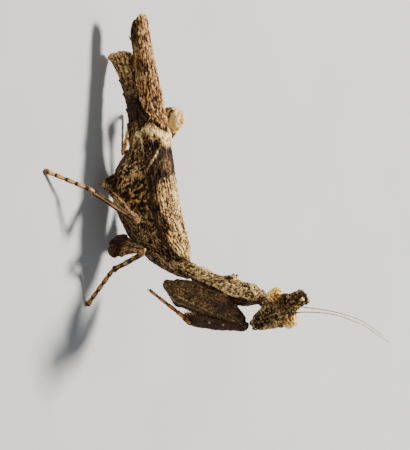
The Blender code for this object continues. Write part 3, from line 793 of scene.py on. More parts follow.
    # The flank, the rings and the fan.
    form.mark("dark", (0.40 + 0.30 * ease(turn, 95, 150)) * (1 - collar) * (1 - fan))
    # Painted highlights on the pleats' crests: warm and pale, with the dark faded there.
    painted_pleat_highlight = pleated * ease(folds, 0.52, 0.88)
    form.mark("warm", painted_pleat_highlight * (0.60 + 0.8 * fine_blotch), ease(middle, 4.0, 3.6) * 0.5 + fan * 0.12)
    form.mark("pale", pleated * ease(folds, 0.75, 1.0) * (0.30 + 0.8 * fine_blotch),
              fan * (0.15 + 0.35 * ease(ribs, 0.0, 0.9)))
    form.fade("dark", 0.75 * painted_pleat_highlight)
    # Painted shade in the pleats' troughs, over the abdomen from about 6 to 11 mm ahead where it
    # lies under the wings, and deeper on the right below the wings' notch; the lobes and neck are
    # darker too.
    form.mark("dark", pleated * ease(folds, 0.45, 0.0) * 0.5, hill(middle, 8.8, 2.6) * 0.40,
              spot(9.6, -1.6, 4.0, 1.2) * 0.5, lobe * 0.8, neck * 0.4)
    grid = form.points.reshape(-1, 3)
    roots = [grid[np.argmin(((grid - place) ** 2).sum(-1))] for place in HUMPS]
    spikes = cones(roots, [(-0.75, -0.15, 0.30), (-0.75, 0.15, 0.30)], 0.24, 0.15, sides=8,
                   dark=0.6)
    build("body_skin", [form, spikes], SKIN, names)


# ---- wings

COLLAR = 11.6           # the pale ridge across both wings, ahead of their tips
TIP_SPINE = 2.35        # the small spine on each lower edge, ahead of the tips
WING_THICKNESS = 0.20
WING_STEP = 0.072       # between rows
WING_COLUMNS = 96
FOLDED = [end_of("hindwings_folded", (-1, 0, 0)), middle_of("hindwings_folded"),
          end_of("hindwings_folded", (1, 0, 0))]


def make_wing(hand, name):
    """A forewing from the midline round to its lower edge; also its shares across and angles."""
    path = through([FOLDED[0] + [-0.5, 0, 0], FOLDED[0] + [0.3, 0, 0]] + FOLDED[1:]
                   + [at(14.3, 0, 4.6), at(19.5, 0, 5.2), at(22.7, 0, 7.1), at(25.3, 0, 9.7)])
    path = places(path, np.linspace(0, distances(path)[-1], 130))
    turns = np.arange(2.0, 170.0, 3.0)
    found = shoot(tree_of([name]), path, *frames_of(path, LEFT), np.radians(turns) * hand, 4.6)
    hits = ~np.isnan(found)
    rows = np.flatnonzero(hits.sum(1) > 6)
    rows = np.arange(rows[0], rows[-1] + 1)
    found, hits, path = found[rows], hits[rows], path[rows]
    edge = np.array([turns[line].max() for line in hits]) + 1.5
    for line, known in zip(found, hits):
        line[~known] = np.interp(turns[~known], turns[known], line[known])
    edge = blurred(edge[:, None], 2.0, 0, False)[:, 0]
    found = blurred(found, 1.8, 1.2, False)

    old = distances(path)
    length = old[-1]
    where = np.linspace(0, length, int(length / WING_STEP))
    edge = np.interp(where, old, edge)
    ahead = np.interp(where, old, path[:, 0]) - REAR
    edge = np.where(ahead < 1.5, np.interp(1.5, ahead, edge), edge)
    edge = edge - 26 * hill(ahead, 9.9, 0.75) - 5 * hill(ahead, 8.7, 0.4)
    edge = edge + 16 * hill(ahead, 11.7, 0.45) + 1.6 * noise(spaced(where * 1.1, 0, hand), 51)
    first = -7.0 if hand > 0 else 1.0
    share = np.linspace(0, 1, WING_COLUMNS)[::hand]
    angle = first + share * (edge[:, None] - first)
    radius = np.stack([np.interp(where, old, column) for column in found.T], -1)
    radius = np.stack([np.interp(a, turns, r) for a, r in zip(angle, radius)])
    radius = (radius + 0.05 * ease(angle, 10, 0) * (hand > 0)
              + 0.12 * ease(angle, 70, 110) * ease(ahead, 4.5, 1.5)[:, None]
              - 0.45 * ease(where, length - 1.1, length)[:, None]
              - 0.26 * ease(share, 0.93, 1.0) * ease(ahead, 13.5, 15.5)[:, None])
    path = places(path, where)
    frames = frames_of(path, LEFT)
    return Form(path, *frames, radius, np.radians(angle) * hand, closed=False), share, angle


def carve_wing(form, share, angle, hand):
    """Veins, collar, torn tip and markings; returns the points of the inner face."""
    seed = 60 + hand
    torn = layered(spaced(angle / 9, 0, hand), seed, 3)
    cut = 0.90 * ease(angle, 50, 150) + 0.30 * ease(angle, 24, 0) + 0.07 * torn - 0.05
    form.points[..., 0] += ease(form.ahead, 1.6, 0.0) * cut
    inner = form.points - form.normals() * WING_THICKNESS
    ahead = form.ahead
    roughen(form, seed, streak=0.06, lumps=0.045, grains=0.05, stretch=0.3)
    # Long veins that wander a little, and fine furrows between them.
    drift = share * 9.5 + 0.6 * layered(form.lie * [0.14, 0.5, 0.5], seed + 3, 2)
    form.push(hill(drift % 1.0, 0.5, 0.11) * 0.055)
    furrow = np.abs(layered(form.lie * [0.30, 3.4, 3.4], seed + 5, 2))
    form.push(-0.05 * ease(furrow, 0.12, 0.0))
    # The crumpled pale collar, the hollow behind it and two slanting ridges ahead of it.
    crumple = layered(form.lie * 2.8, seed + 7, 3)
    middle = COLLAR + 0.75 * ease(angle, 45, 8) + 0.15 * crumple
    collar = hill(ahead, middle, 0.40 + 0.22 * ease(angle, 95, 50))
    form.push(collar * (0.14 + 0.20 * crumple))
    form.push(-0.14 * hill(ahead, middle - 0.95, 0.22))
    form.push(-0.14 * hill(ahead, COLLAR + 1.3, 0.6) * span(angle, 16, 32, 60, 80))
    ridges = (ease(share, 0.88, 0.95) * hill(ahead, COLLAR + 1.1, 1.0)
              + hill(angle, 6 + 13 * (ahead - COLLAR), 3.0) * hill(ahead, COLLAR + 2.6, 1.3))
    form.push(0.10 * ridges)
    form.masks["height"] += 0.10 * collar
    # A crinkled lower rim behind the collar.
    crinkle = ease(layered(form.lie * 1.8, seed + 13, 2), -0.1, 0.4)
    rim = ease(share, 0.92, 0.97) * span(ahead, 5.2, 6.2, 10.3, 11.3) * crinkle
    form.push(rim * 0.07)

    # Painted light on the upper side from the middle forward and painted shade below it, the tube
    # behind the collar, and the hinge.
    blotch = layered(form.lie * 0.45 + 5, seed + 9, 3)
    streaks = layered(form.lie * [0.25, 2.6, 2.6], seed + 11, 3)
    low = angle - 22 * ease(ahead, 20.5, 23.5) + 4 * hill(ahead, 18.5, 2.0)
    # lit marks the painted light over the upper side.
    lit = ease(ahead - 0.025 * angle + 0.7 * crumple, 15.4, 16.4) * ease(low, 50, 30 + 8 * blotch)
    tube = ease(ahead, 12.6, 11.0)
    hinge = ease(ahead, 22.6, 23.4) * span(angle, 20, 35, 55, 70)
    comb = cosine(angle * 26)
    form.mark("pale", lit * (0.36 + hill(ahead, 18.2, 1.8) * 0.3 + 0.55 * streaks + 0.2 * blotch),
              collar * (1.15 + 0.6 * crumple), ease(ahead, 0.40, 0.0) * ease(angle, 70, 30),
              hinge * ease(comb, 0.1, 0.7), ridges * 0.8, rim * 0.4)
    # Painted shade inside the torn tip, in the groove behind the collar, and over the lower side
    # below the painted light.
    form.mark("dark", ease(ahead, 14.5, 16.0) * ease(furrow, 0.10, 0.0) * 0.55,
              collar * ease(crumple, -0.3, -0.6) * 0.4,
              hill(ahead - cut, 0.55, 0.30) * ease(angle, 40, 70) * 0.6,
              span(ahead, 12.7, 13.5, 16.5, 18.5) * (1 - lit) * ease(angle, 52, 38)
              * (1.1 + 0.4 * blotch),
              hill(ahead, COLLAR + 1.5, 0.8) * ease(angle, 14, 26) * 0.35,
              hill(ahead, middle - 0.95, 0.25) * 0.45,
              ease(ahead, 13.0, 15.0) * ease(low, 38, 52) * 0.88,
              hinge * ease(comb, -0.2, -0.8), ease(share, 0.86, 1.0) * 0.40)
    form.fade("dark", 0.9 * np.clip(ridges, 0, 1))
    form.mark("dark", tube * (0.16 + ease(angle, 80, 120) * 0.25),
              ease(ahead, 4.0, 2.0) * ease(angle, 85, 110) * 0.55)
    form.fade("dark", rim)
    form.mark("warm", hill(ahead, 15.2, 1.0) * ease(angle, 40, 20) * 0.25,
              hill(ahead, 17.6, 1.3) * hill(angle, 40, 8) * 0.6, rim * 0.9,
              tube * (0.06 + 0.35 * ease(streaks, 0.1, 0.7)),
              ease(ahead, 16.5, 18.0) * span(angle, 40, 52, 56, 66) * 0.25)
    return inner


def make_wings():
    for hand, name in ((1, "forewing_left"), (-1, "forewing_right")):
        form, share, angle = make_wing(hand, name)
        inner = carve_wing(form, share, angle, hand)
        low = 0 if hand < 0 else -1
        row = int(np.argmin(np.abs(form.ahead[:, low] - TIP_SPINE)))
        spine = cones([form.points[row, low]], [(-0.55, 0.1 * hand, -0.8)], 0.66, 0.17,
                      bend=(-0.2, 0, 0.15), dark=0.7)
        form.fold(inner)
        build(name + "_bark", [form, spine], WING, [name])
    form = cast_form(["hindwings_folded"], through(FOLDED), LEFT, step=0.12, columns=60,
                     caps=(0.1, 0.1))
    form.push(0.05 * np.sin(np.radians(form.angle) * 12))
    # The folded hind wings are painted dark as shade under the forewings.
    form.mark("dark", 0.4)
    build("hind_wings", [form], HIND_WING, ["hindwings_folded"])


# ---- head

HEAD_UP = unit(middle_of("horn") - middle_of("mouthparts"))
HEAD_ACROSS = unit(middle_of("eye_left") - middle_of("eye_right"))
HEAD_UP = unit(HEAD_UP - HEAD_ACROSS * (HEAD_UP @ HEAD_ACROSS))
HEAD_FACE = np.cross(HEAD_ACROSS, HEAD_UP)
HEAD_SIDE = np.cross(HEAD_FACE, HEAD_UP)
EYE_RADII = (0.76, 0.80, 0.90)      # outward, fore and aft, along the head
EYE_HEIGHT = 3.75                   # above the mouth
EYE_OUT = {-1: 1.40, 1: 1.26}       # the right and the left eye, from the middle plane
MOUTH = (middle_of("eye_left") + middle_of("eye_right")) / 2
MOUTH = MOUTH - HEAD_UP * EYE_HEIGHT - HEAD_FACE * 0.05
ANTENNA_HEIGHT = 3.55
ANTENNA_OUT = 0.38


def in_head(up, face, across=0.0):
    """A place given above the mouth, out of the face and across to the left."""
    return MOUTH + HEAD_UP * up + HEAD_FACE * face + HEAD_ACROSS * across


def head_line(*spots):
    return [in_head(*spot) for spot in spots]


def eye_middle(hand):
    return in_head(EYE_HEIGHT, 0.05, EYE_OUT[hand] * hand)


def tube_form(points, radii, step=0.05, columns=14, side=HEAD_ACROSS, caps=None, count=200):
    """A round form along a line, its radius read from a few evenly spaced values."""
    path = through(points, count)
    length = distances(path)[-1]
    where, factor = stations(length, step, caps or (radii[0] * 0.8, radii[-1] * 0.8), 5)
    centre = places(path, where)
    radius = np.interp(where, np.linspace(0, length, len(radii)), radii) * factor
    angle = np.linspace(0, 2 * math.pi, columns, endpoint=False)
    return Form(centre, *frames_of(centre, side), radius[:, None] + 0 * angle, angle)


def network(form, seed, size, height, pale):
    """Raised ridges round small pits, as on crusty bark."""
    warp = 0.40 * layered(form.lie * 2.2, seed + 5, 2)
    first, second, _ = cells(form.lie / size + 3.0 + warp[..., None], seed)
    ridge = ease(second - first, 0.22, 0.02)
    form.push(ridge * height - ease(first, 0.45, 0.1) * height * 0.6)
    form.mark("dark", (1 - ridge) * 0.45 + ease(first, 0.45, 0.15) * 0.3)
    form.mark("pale", ridge * pale * ease(warp, -0.25, 0.25))


def make_head():
    line = head_line((0.22, 0.12), (2.4, 0.02), (4.72, 0.02))
    form = cast_form(["head"], through(line), HEAD_SIDE, step=0.045, columns=200, reach=3.0,
                     caps=(0.25, 0.10), soft=0.12, casts=72)
    up, across, face = np.moveaxis((form.points - MOUTH) @ np.array([HEAD_UP, HEAD_ACROSS,
                                                                     HEAD_FACE]).T, -1, 0)
    front = ease(face, 0.0, 0.35)
    off_middle = np.abs(across)
    # Forehead plate with raised rim, the lines of clypeus and lip, and a brow on each side.
    width = 0.62 - 0.30 * ease(up, 1.9, 2.7)
    rim = hill(off_middle, width, 0.07) * span(up, 1.3, 1.5, 2.6, 2.8)
    rim = rim + hill(up, 2.68, 0.07) * ease(off_middle, 0.5, 0.3)
    form.push(rim * front * 0.14)
    for line_height in (0.78, 1.32):
        form.push(-0.12 * hill(up, line_height, 0.055) * front)
    form.push(0.16 * hill(off_middle, 0.88, 0.15) * span(up, 1.4, 2.2, 4.0, 4.6) * front)
    form.push(0.12 * hill(across, 0.0, 0.12) * ease(up, 3.3, 3.9) * front)
    cover = 0.0
    for hand in (-1, 1):
        socket = in_head(ANTENNA_HEIGHT, 0.95, ANTENNA_OUT * hand)
        away = np.linalg.norm(form.points - socket, axis=-1)
        form.push(0.10 * hill(away, 0.24, 0.07) - 0.08 * hill(away, 0.0, 0.15))
        # The shell rises in a puckered lid round the inner side of each eye.
        lid = hill(np.linalg.norm(form.points - eye_middle(hand), axis=-1), 0.95, 0.14)
        form.push(0.13 * lid)
        cover = cover + lid
    for place, width, amount in ((in_head(2.7, 0.1, 1.25), 0.75, 0.26),
                                 (in_head(2.5, 0.3, -1.1), 0.6, 0.10),
                                 (in_head(4.7, 0.1, -0.8), 0.5, 0.34)):
        form.push(amount * form.near(place, width), 0.0)
    network(form, 71, 0.42, 0.09, 0.55)
    roughen(form, 72, streak=0.03, lumps=0.035, grains=0.04, stretch=0.9)
    blotch = layered(form.lie * 1.1, 73, 3)
    form.mark("dark", (0.18 + 0.3 * ease(blotch, 0.2, -0.5)) * ease(across, 0.9, 0.2),
              0.10 + 0.4 * cover)
    form.fade("pale", 0.6 * np.clip(cover, 0, 1))
    form.mark("pale", 0.35 * ease(across, 0.4, 1.0) * ease(blotch, -0.4, 0.3))
    form.mark("warm", ease(up, 1.2, 0.5) * front * 0.15,
              0.40 * ease(across, 0.4, 1.1) * ease(blotch, -0.3, 0.4))
    build("head_skin", [form], FACE, ["head"])


def make_horn():
    """The crest: blunt, warty and cleft, with a pale hollow near its tip."""
    line = head_line((4.62, 0.02), (5.5, 0.0), (6.42, -0.06))
    form = cast_form(["horn"], through(line), HEAD_SIDE, step=0.042, columns=120, reach=2.0,
                     caps=(0.04, 0.10), cap_rows=12, soft=0.10, casts=60)
    form.push(0.14 * hill(form.share, 0.90, 0.12) - 0.03, 0.0)
    form.push(0.07 * np.cos(np.radians(form.angle) * 4 + 0.5) * ease(form.share, 0.45, 0.95))
    form.push(0.26 * form.near(in_head(5.4, 0.1, -0.6), 0.8), 0.0)
    hollow = form.near(in_head(6.28, 0.42, 0.10), 0.30)
    hollow = hollow + form.near(in_head(6.00, 0.46, 0.12), 0.14)
    form.push(-0.16 * hollow, 0.0)
    network(form, 81, 0.46, 0.08, 0.45)
    roughen(form, 82, streak=0.04, lumps=0.05, grains=0.04, stretch=0.5)
    floor = ease(hollow, 0.42, 0.62)
    form.fade("dark", 0.45)
    form.mark("dark", 0.5 * hill(form.share, 0.98, 0.10),
              form.near(in_head(5.75, 0.5), 0.30) * 0.8, ease(hollow, 0.05, 0.3) * 0.9)
    form.fade("dark", floor)
    form.mark("pale", floor)
    form.masks["height"] += 0.60 * floor
    form.mark("warm", 0.3 * ease(form.share, 0.25, 0.0))
    build("horn_bark", [form], FACE, ["horn"])


def make_eyes():
    """Each eye bulges to a blunt point; dark bands run out over it from the cheek."""
    out, fore, long = EYE_RADII
    turn = np.linspace(0.03, math.pi - 0.25, 66)[::-1, None]
    spread = np.linspace(0, 2 * math.pi, 100, endpoint=False)
    oval = 1 / np.sqrt((np.cos(spread) / fore) ** 2 + (np.sin(spread) / long) ** 2)
    for hand, name in ((1, "eye_left"), (-1, "eye_right")):
        centre = eye_middle(hand) + HEAD_ACROSS * hand * (np.cos(turn) * out)
        count = (len(centre), 1)
        form = Form(centre, np.tile(HEAD_FACE, count), np.tile(HEAD_UP * hand, count),
                    np.sin(turn) ** 0.9 * oval, spread)
        pole = ease(form.share, 0.62, 1.0)
        form.push(0.10 * pole + 0.03 * layered(form.lie * 1.8, 91, 3))
        bands = 0.5 + 0.5 * cosine((form.angle + 34 * layered(form.lie * 1.2, 92, 3)) * 11)
        form.push(-0.03 * bands * (1 - pole))
        broken = ease(layered(form.lie * 2.8, 94, 2), -0.45, 0.15)
        form.mark("pale", 0.5 * ease(layered(form.lie * 1.3, 93, 2), 0.0, 0.5))
        form.mark("warm", 0.25 * ease(bands, 0.2, 0.6))
        form.masks["height"] += 0.10
        form.mark("dark", ease(bands, 0.45, 0.85) * ease(form.share, 0.95, 0.75) * broken,
                  ease(form.share, 0.44, 0.30) * 0.7)
        build(name + "_lens", [form], EYE, [name])


def make_mouth():
    """Lip, jaws and two pairs of jointed palps, tucked under the face."""
    lip = tube_form(head_line((0.62, 0.30), (0.30, 0.34), (0.04, 0.22)), [0.34, 0.36, 0.22],
                    columns=30)
    roughen(lip, 101, streak=0.02, lumps=0.02, grains=0.02)
    pieces = [lip]
    for hand in (-1, 1):
        line = head_line((0.75, 0.02, 0.42 * hand), (0.35, 0.05, 0.36 * hand),
                         (0.02, 0.06, 0.12 * hand))
        jaw = tube_form(line, [0.26, 0.24, 0.08], columns=24)
        jaw.mark("dark", 0.5)
        pieces.append(jaw)
        for low, reach, spread in ((0.34, 0.50, 0.50), (0.18, 0.34, 0.28)):
            out = spread * hand
            line = head_line((low + 0.25, 0.0, out * 0.7), (low, 0.28, out),
                             (low - 0.22, 0.36, out * 0.9), (low - reach + 0.08, 0.26, out * 0.6))
            palp = tube_form(line, [0.09, 0.08, 0.09, 0.075, 0.085, 0.05])
            joints = np.sin(palp.share * math.pi * 4)
            palp.push(-0.03 * hill(joints, 0.0, 0.25))
            palp.mark("pale", 0.35 * ease(joints, 0.2, 0.9))
            pieces.append(palp)
    build("mouth_and_palps", pieces, MOUTH_SKIN, ["mouthparts"])
    eyelets = []
    for across, up, size in ((0.0, 3.75, 0.10), (-0.22, 4.08, 0.12), (0.22, 4.08, 0.12)):
        line = head_line(*((up, 0.78 + out, across) for out in (0.0, 0.07, 0.15)))
        eyelets.append(tube_form(line, [size, size, size * 0.8], columns=16, step=0.03))
    build("simple_eyes", eyelets, EYE, ())


def make_antennae():
    """Two threads of short joints from their sockets on the face."""
    for hand, name in ((1, "antenna_left"), (-1, "antenna_right")):
        points = points_of(name)
        levels = np.linspace(points[:, 2].min() + 1.3, points[:, 2].max() - 0.4, 9)
        line = [points[np.abs(points[:, 2] - level) < 0.75].mean(0) for level in levels]
        base = in_head(ANTENNA_HEIGHT, 0.86, ANTENNA_OUT * hand)
        line = [base, base + HEAD_FACE * 0.26 + HEAD_UP * 0.34] + line
        radii = [0.10, 0.08, 0.066] + list(np.linspace(0.055, 0.026, 12))
        thread = tube_form(line, radii, step=0.045, columns=10, side=LEFT, caps=(0.05, 0.03),
                           count=500)
        joint = thread.run / 0.26
        thread.push(-0.014 * hill((joint % 1.0), 0.0, 0.2))
        thread.mark("dark", 0.30 * (np.floor(joint) % 4 == 0) + 0.9 * ease(thread.run, 2.6, 2.0))
        thread.mark("warm", 0.25)
        scape = tube_form([base, base + HEAD_FACE * 0.16 + HEAD_UP * 0.14,
                           base + HEAD_FACE * 0.28 + HEAD_UP * 0.34], [0.12, 0.14, 0.09],
                          columns=16)
        scape.mark("dark", 0.8)
        build(name + "_thread", [thread, scape], FEELER, [name])


# ---- legs

FEMUR_RIDGES = (-35, 35, 145, -145)     # degrees round the segment
TIBIA_RIDGES = (-45, 45, 135, -135)


def claw_pair(form):
    """Two hooked claws at the end of a foot."""
    tip = form.centre[-1]
    way = unit(tip - form.centre[-12])
    flat = unit(np.cross(way, [0.0, 0.0, 1.0]))
    ways = [unit(way + flat * side * 0.55) for side in (-1, 1)]
    roots = [tip - way * 0.16 + flat * side * 0.06 + [0, 0, 0.05] for side in (-1, 1)]
    return cones(roots, ways, 0.42, 0.07, sides=7, bend=(0, 0, -0.20), rings=7)


def foot_form(name, near, facing, bulge, **how):
    """The five joints of a foot, each swelling a little towards its end."""
    form = limb_form(name + "_tarsus", near, facing, step=0.045, joined=True, **how)
    joints = (form.share * 5) % 1.0
    form.push(bulge * joints ** 2 - (bulge + 0.01) * hill(joints, 0.0, 0.12))
    return form


def make_walking_leg(name, lobed=False, knobbed=False):
    """A mid leg, its thigh lobed, or a hind leg, the left one's knee a swollen knob."""
    knee_way = middle_of(name + "_femur")
    coxa = limb_form(name + "_coxa", middle_of("pterothorax"), knee_way, centred=1, soft=0.15)
    coxa.push(0.05 * cosine(coxa.angle * 5))
    roughen(coxa, 111, streak=0.03, lumps=0.04, grains=0.04)
    coxa.mark("dark", 0.45)

    femur = limb_form(name + "_femur", coxa.stop, middle_of(name + "_tarsus"), step=0.055,
                      columns=64, joined=True, flat=2.2 if lobed else 1.4, caps=(0.15, 0.2),
                      soft=0.12)
    femur.push(femur.lines(9, *FEMUR_RIDGES) * 0.05 - 0.02)
    edge = femur.lines(16, 180) + femur.lines(14, 0)
    tooth = layered(spaced(femur.run * 2.6), 121, 2)
    reach = hill(femur.share, 0.30, 0.30) if lobed else 0.35
    femur.push(edge * ease(tooth, -0.1, 0.5) * reach * (0.22 if lobed else 0.10))
    roughen(femur, 122, streak=0.04, lumps=0.04, grains=0.06, stretch=0.3)
    if knobbed:
        folds = cosine(femur.angle * 5 + np.degrees(6 * femur.share))
        folds = folds + 1.5 * layered(femur.lie * 2.2, 126, 3)
        femur.push(hill(femur.share, 0.87, 0.13) * (0.20 + 0.08 * folds), 0.0)

    knee = femur.stop + unit(femur.start - femur.stop) * 0.25
    tibia = limb_form(name + "_tibia", knee, knee_way, step=0.055, caps=(0.12, 0.12), soft=0.10,
                      centred=1, swell=0.92, joined=True)
    tibia.push(tibia.lines(14, *TIBIA_RIDGES) * 0.05 - 0.03)
    tibia.push(0.07 * hill(tibia.share, 0.97, 0.05) + 0.04 * hill(tibia.share, 0.55, 0.07))
    roughen(tibia, 123, streak=0.02, lumps=0.03, grains=0.04, stretch=0.3)
    ankle = tibia.stop + unit(knee - tibia.stop) * 0.28
    tarsus = foot_form(name, ankle, knee_way, 0.05, columns=24, caps=(0.10, 0.12), soft=0.07,
                       swell=0.92)
    tarsus.points[..., 2] = np.maximum(tarsus.points[..., 2], 0.0)

    # Banding: dark lobes and rings over pale ground, paler towards the foot; the dark laid over the
    # mid thighs' lobes is painted shade.
    lines = femur.lines(8, *FEMUR_RIDGES)
    # On a lobed mid thigh this dark over the lobe is painted shade.
    femur.mark("dark", 0.85 * reach if lobed else 0.30)
    femur.rings((0.42, 0.66), 0.06, 0.4)
    femur.mark("pale", 0.45 * lines)
    if lobed:
        outer = ease(femur.share, 0.35, 0.6)
        for side, inside in ((90, 66), (-90, -66)):
            femur.mark("dark", femur.lines(9, side) * 0.8)
            strip = femur.lines(10, inside) * outer
            femur.fade("dark", 0.7 * strip)
            femur.mark("pale", strip * 0.35)
        femur.mark("warm", 0.8 * ease(femur.share, 0.90, 1.0))
    elif knobbed:
        # The far hind thigh: its stalk is painted dark as shade; its swollen knee gets painted
        # light on the side facing one fixed direction, warm where it turns, and painted shade on
        # the side turned away.
        shade = ease(layered(femur.lie * 1.6, 125, 2), -0.2, 0.5)
        facing = femur.normals() @ unit(np.array([0.7, 0.33, 0.62]))
        swollen = ease(femur.share, 0.70, 0.78)
        femur.mark("dark", 0.7)
        femur.fade("dark", swollen)
        femur.mark("warm", swollen * ease(facing, 0.35, 0.8))
        femur.mark("pale", swollen * (0.7 + 0.3 * shade) * ease(facing, 0.75, 0.45))
        femur.masks["height"] += swollen * (0.30 + 0.15 * folds)
        femur.mark("dark", swollen * ease(facing, -0.45, -0.8))
    else:
        femur.fade("dark", 1 - 0.4 * ease(femur.share, 0.04, 0.30))
        # The pale at the root of this, the near hind thigh, is painted reflected light.
        femur.mark("pale", ease(femur.share, 0.26, 0.12) * 0.5 + 0.35 * lines)
        femur.mark("warm", 0.8 * ease(femur.share, 0.92, 1.0))
    if not knobbed:
        tibia.mark("dark", 0.50 if lobed else 0.85)
        tarsus.mark("dark", 0.28 * ease(tarsus.share, 0.95, 0.6))
    tibia.rings((0.16, 0.42, 0.68, 0.94), 0.06, 0.8 if lobed else 0.3)
    if lobed:
        tibia.rings((0.05, 0.30, 0.55, 0.82), 0.05, 0.4, "pale")
    else:
        tibia.fade("dark", 0.8 * tibia.lines(9, 45))
        tibia.mark("pale", 0.35 * tibia.lines(9, 45))
    tarsus.rings((0.18, 0.40, 0.60, 0.80, 0.97), 0.035, 0.35 if knobbed else 0.9)
    tarsus.mark("warm", 0.45 * ease(tarsus.share, 0.0, 1.0))

    hairs = bristles(femur, np.linspace(0.1, 0.95, 16), FEMUR_RIDGES[:2] + (145, -145, 180),
                     0.14, 0.022, dark=0.4)
    low = [bristles(tibia, np.linspace(0.06, 0.96, 14), TIBIA_RIDGES, 0.17, 0.022, seed=1),
           bristles(tarsus, np.linspace(0.05, 0.92, 18), (120, 180, -120, 60, -60), 0.10, 0.018,
                    seed=2),
           bristles(tibia, (0.96,), (130, -130), 0.36, 0.05, lean=0.9, seed=3)]
    build(name + "_upper", [coxa, femur, hairs], LEG, [name + "_coxa", name + "_femur"])
    build(name + "_lower", [tibia, tarsus] + low, BANDED, [name + "_tibia", name + "_tarsus"])
    return claw_pair(tarsus)


def make_foreleg(name):
    """A raptorial leg, folded: a broad spined thigh over a slender tibia."""
    near = middle_of("prothorax")
    tibia_middle = middle_of(name + "_tibia")
    coxa = limb_form(name + "_coxa", near, tibia_middle, step=0.07, columns=40, soft=0.12,
                     centred=1)
    roughen(coxa, 131, streak=0.03, lumps=0.04, grains=0.05)
    femur = limb_form(name + "_femur", end_of(name + "_coxa", (0, 0, -1)), tibia_middle,
                      step=0.05, columns=120, flat=2.6, caps=(0.25, 0.25), soft=0.16, casts=64)
    # A dark rim line inside the lower edge, a ridge along the middle, and a beaded edge.
    turn = np.abs(femur.angle)
    ends = span(femur.share, 0.02, 0.10, 0.88, 0.97)
    rim = hill(turn, 168, 2.6) * ends
    femur.push(-0.10 * rim + 0.07 * hill(turn, 173, 2.2) * ends)
    femur.push(0.08 * hill(turn, 128, 9) * ease(femur.share, 0.1, 0.3))
    teeth = 0.5 + 0.5 * ripple(femur.run, 0.30)
    femur.push((0.03 * hill(turn, 0, 14) + 0.04 * hill(turn, 180, 5)) * teeth)
    roughen(femur, 132, streak=0.03, lumps=0.03, grains=0.02, stretch=0.5)
    tibia = limb_form(name + "_tibia", femur.stop, middle_of(name + "_femur"), step=0.05,
                      columns=64, flat=1.6, caps=(0.15, 0.12), soft=0.10, joined=True)
    tibia.push(0.10 * tibia.lines(50, 180))
    roughen(tibia, 133, streak=0.04, lumps=0.04, grains=0.05, stretch=0.4)
    tarsus = foot_form(name, end_of(name + "_tibia", (0, 0, -1), 0.5), near, 0.03, columns=20,
                       caps=(0.08, 0.10), soft=0.06, swell=0.72)

    coxa.mark("dark", 0.3 * ease(coxa.share, 0.2, 0.4))
    coxa.mark("warm", 0.8 * ease(coxa.share, 0.22, 0.02))
    coxa.mark("pale", 0.5 * ease(coxa.share, 0.12, 0.0))
    flecks = layered(femur.lie * [1.6, 3.2, 3.2], 134, 2)
    femur.mark("warm", 0.10 * ease(flecks, 0.25, 0.7))
    femur.mark("dark", 0.10 + 0.35 * ease(turn, 120, 175) + 0.25 * ease(femur.share, 0.5, 1.0),
               0.95 * rim + 0.45 * hill(turn, 180, 6))
    femur.mark("pale", 0.35 * hill(turn, 128, 4) * ease(flecks, -0.3, 0.4),
               0.45 * hill(turn, 159, 2.6) * ends * ease(femur.share, 0.6, 0.4))
    tibia.mark("dark", 0.85)
    tibia.mark("warm", 0.5 * tibia.lines(12, 0))
    for share in (0.40, 0.62):
        spots = hill(tibia.share, share, 0.02) * tibia.lines(22, 90, -90)
        tibia.fade("dark", spots)
        tibia.mark("pale", 0.7 * spots)
    tarsus.rings((0.20, 0.40, 0.60, 0.80, 1.0), 0.05, 0.9)
    tarsus.mark("warm", 0.5)

    # Long pale spines on the femur and at the tibia's end, smaller ones along both, a hook.
    spines = [bristles(femur, (0.22, 0.27, 0.32, 0.37), (172,), 0.62, 0.07, lean=-0.1, seed=4,
                       wild=0.2, pale=0.7),
              bristles(tibia, (0.82, 0.86, 0.90, 0.94), (165, -165), 0.45, 0.06, lean=0.2,
                       seed=9, wild=0.3, pale=0.8),
              bristles(tibia, (0.985,), (175,), 0.70, 0.12, lean=1.6, seed=7, wild=0.0,
                       warm=0.4)]
    for form, rows, angle, length, width, lean, seed in (
            (femur, np.linspace(0.28, 0.86, 15), 170, 0.26, 0.045, 0.1, 5),
            (tibia, np.linspace(0.12, 0.94, 13), 160, 0.24, 0.04, 0.5, 6)):
        spines += [bristles(form, rows, (side * angle,), length, width, lean, seed, wild=0.2,
                            dark=0.4) for side in (1, -1)]
    hairs = bristles(tarsus, np.linspace(0.05, 0.95, 16), (0, 90, 180, -90), 0.08, 0.016, seed=8)
    build(name + "_arm", [coxa, femur, tibia], FORELEG,
          [name + "_coxa", name + "_femur", name + "_tibia"])
    build(name + "_foot", [tarsus, hairs], BANDED, [name + "_tarsus"])
    build(name + "_spines", spines, BANDED, ())
    return claw_pair(tarsus)


def make_legs():
    claws = [make_walking_leg("hindleg_right"), make_walking_leg("hindleg_left", knobbed=True),
             make_walking_leg("midleg_right", lobed=True),
             make_walking_leg("midleg_left", lobed=True),
             make_foreleg("foreleg_right"), make_foreleg("foreleg_left")]
    build("claws", claws, MOUTH_SKIN, ())


# ---- camera, light and floor

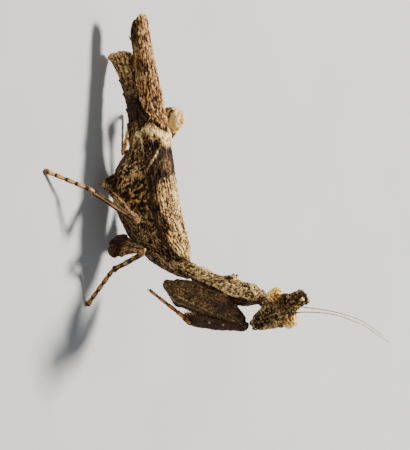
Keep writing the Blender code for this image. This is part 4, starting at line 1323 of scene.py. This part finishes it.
CAMERA_TARGET = Vector((4.695, 1.72, 11.44)) * MM
CAMERA_PLACE = Vector((4.695, -351.46, 199.23)) * MM
KEY_POWER = 7.4
FILL_POWER = 0.7
WORLD_STRENGTH = 0.31


def make_stage():
    bpy.ops.mesh.primitive_plane_add(size=3.0, location=(0, 0, 0))
    floor = bpy.context.object
    floor.name = "floor"
    looks = Looks("pale_floor")
    place = looks.put("TexCoord")["Object"]
    cloud = looks.put("TexNoise", {"Vector": place, "Scale": 60.0, "Detail": 4.0})["Fac"]
    colour = looks.ramp(cloud, [(0.3, grey(0.435)), (0.7, grey(0.475))])
    looks.fill(looks.shader, {"Base Color": colour, "Roughness": 0.9})
    floor.data.materials.append(looks.material)


def add_light(name, place, size, power, colour):
    """A square lamp at a place in metres, aimed at the model."""
    lamp = bpy.data.lights.new(name, "AREA")
    lamp.size = size
    lamp.energy = power
    lamp.color = colour
    thing = added(name, lamp)
    thing.location = place
    aim = Vector((0, 0, 0.01)) - Vector(place)
    thing.rotation_euler = aim.to_track_quat("-Z", "Y").to_euler()


def make_lights():
    add_light("key", (-0.10, 0.20, 0.44), 0.09, KEY_POWER, (1.0, 0.97, 0.92))
    add_light("fill", (0.25, -0.60, 0.35), 0.50, FILL_POWER, (0.95, 0.97, 1.0))
    world = bpy.data.worlds.new("studio")
    world.use_nodes = True
    sky = world.node_tree.nodes["Background"].inputs
    sky["Color"].default_value = (0.9, 0.95, 1.0, 1)
    sky["Strength"].default_value = WORLD_STRENGTH
    bpy.context.scene.world = world


def make_camera():
    """A long lens from the animal's right, rolled so that ahead is down the frame."""
    lens = bpy.data.cameras.new("camera")
    lens.lens = 320
    lens.sensor_width = 36
    thing = added("camera", lens)
    back = (CAMERA_PLACE - CAMERA_TARGET).normalized()
    up = Vector((-1, 0, 0))
    right = up.cross(back).normalized()
    turned = np.array([right, up, back]).T
    thing.matrix_world = Matrix.Translation(CAMERA_PLACE) @ Matrix(turned.tolist()).to_4x4()
    bpy.context.scene.camera = thing


make_camera()
make_stage()
make_lights()
make_body()
make_wings()
make_head()
make_horn()
make_eyes()
make_mouth()
make_antennae()
make_legs()
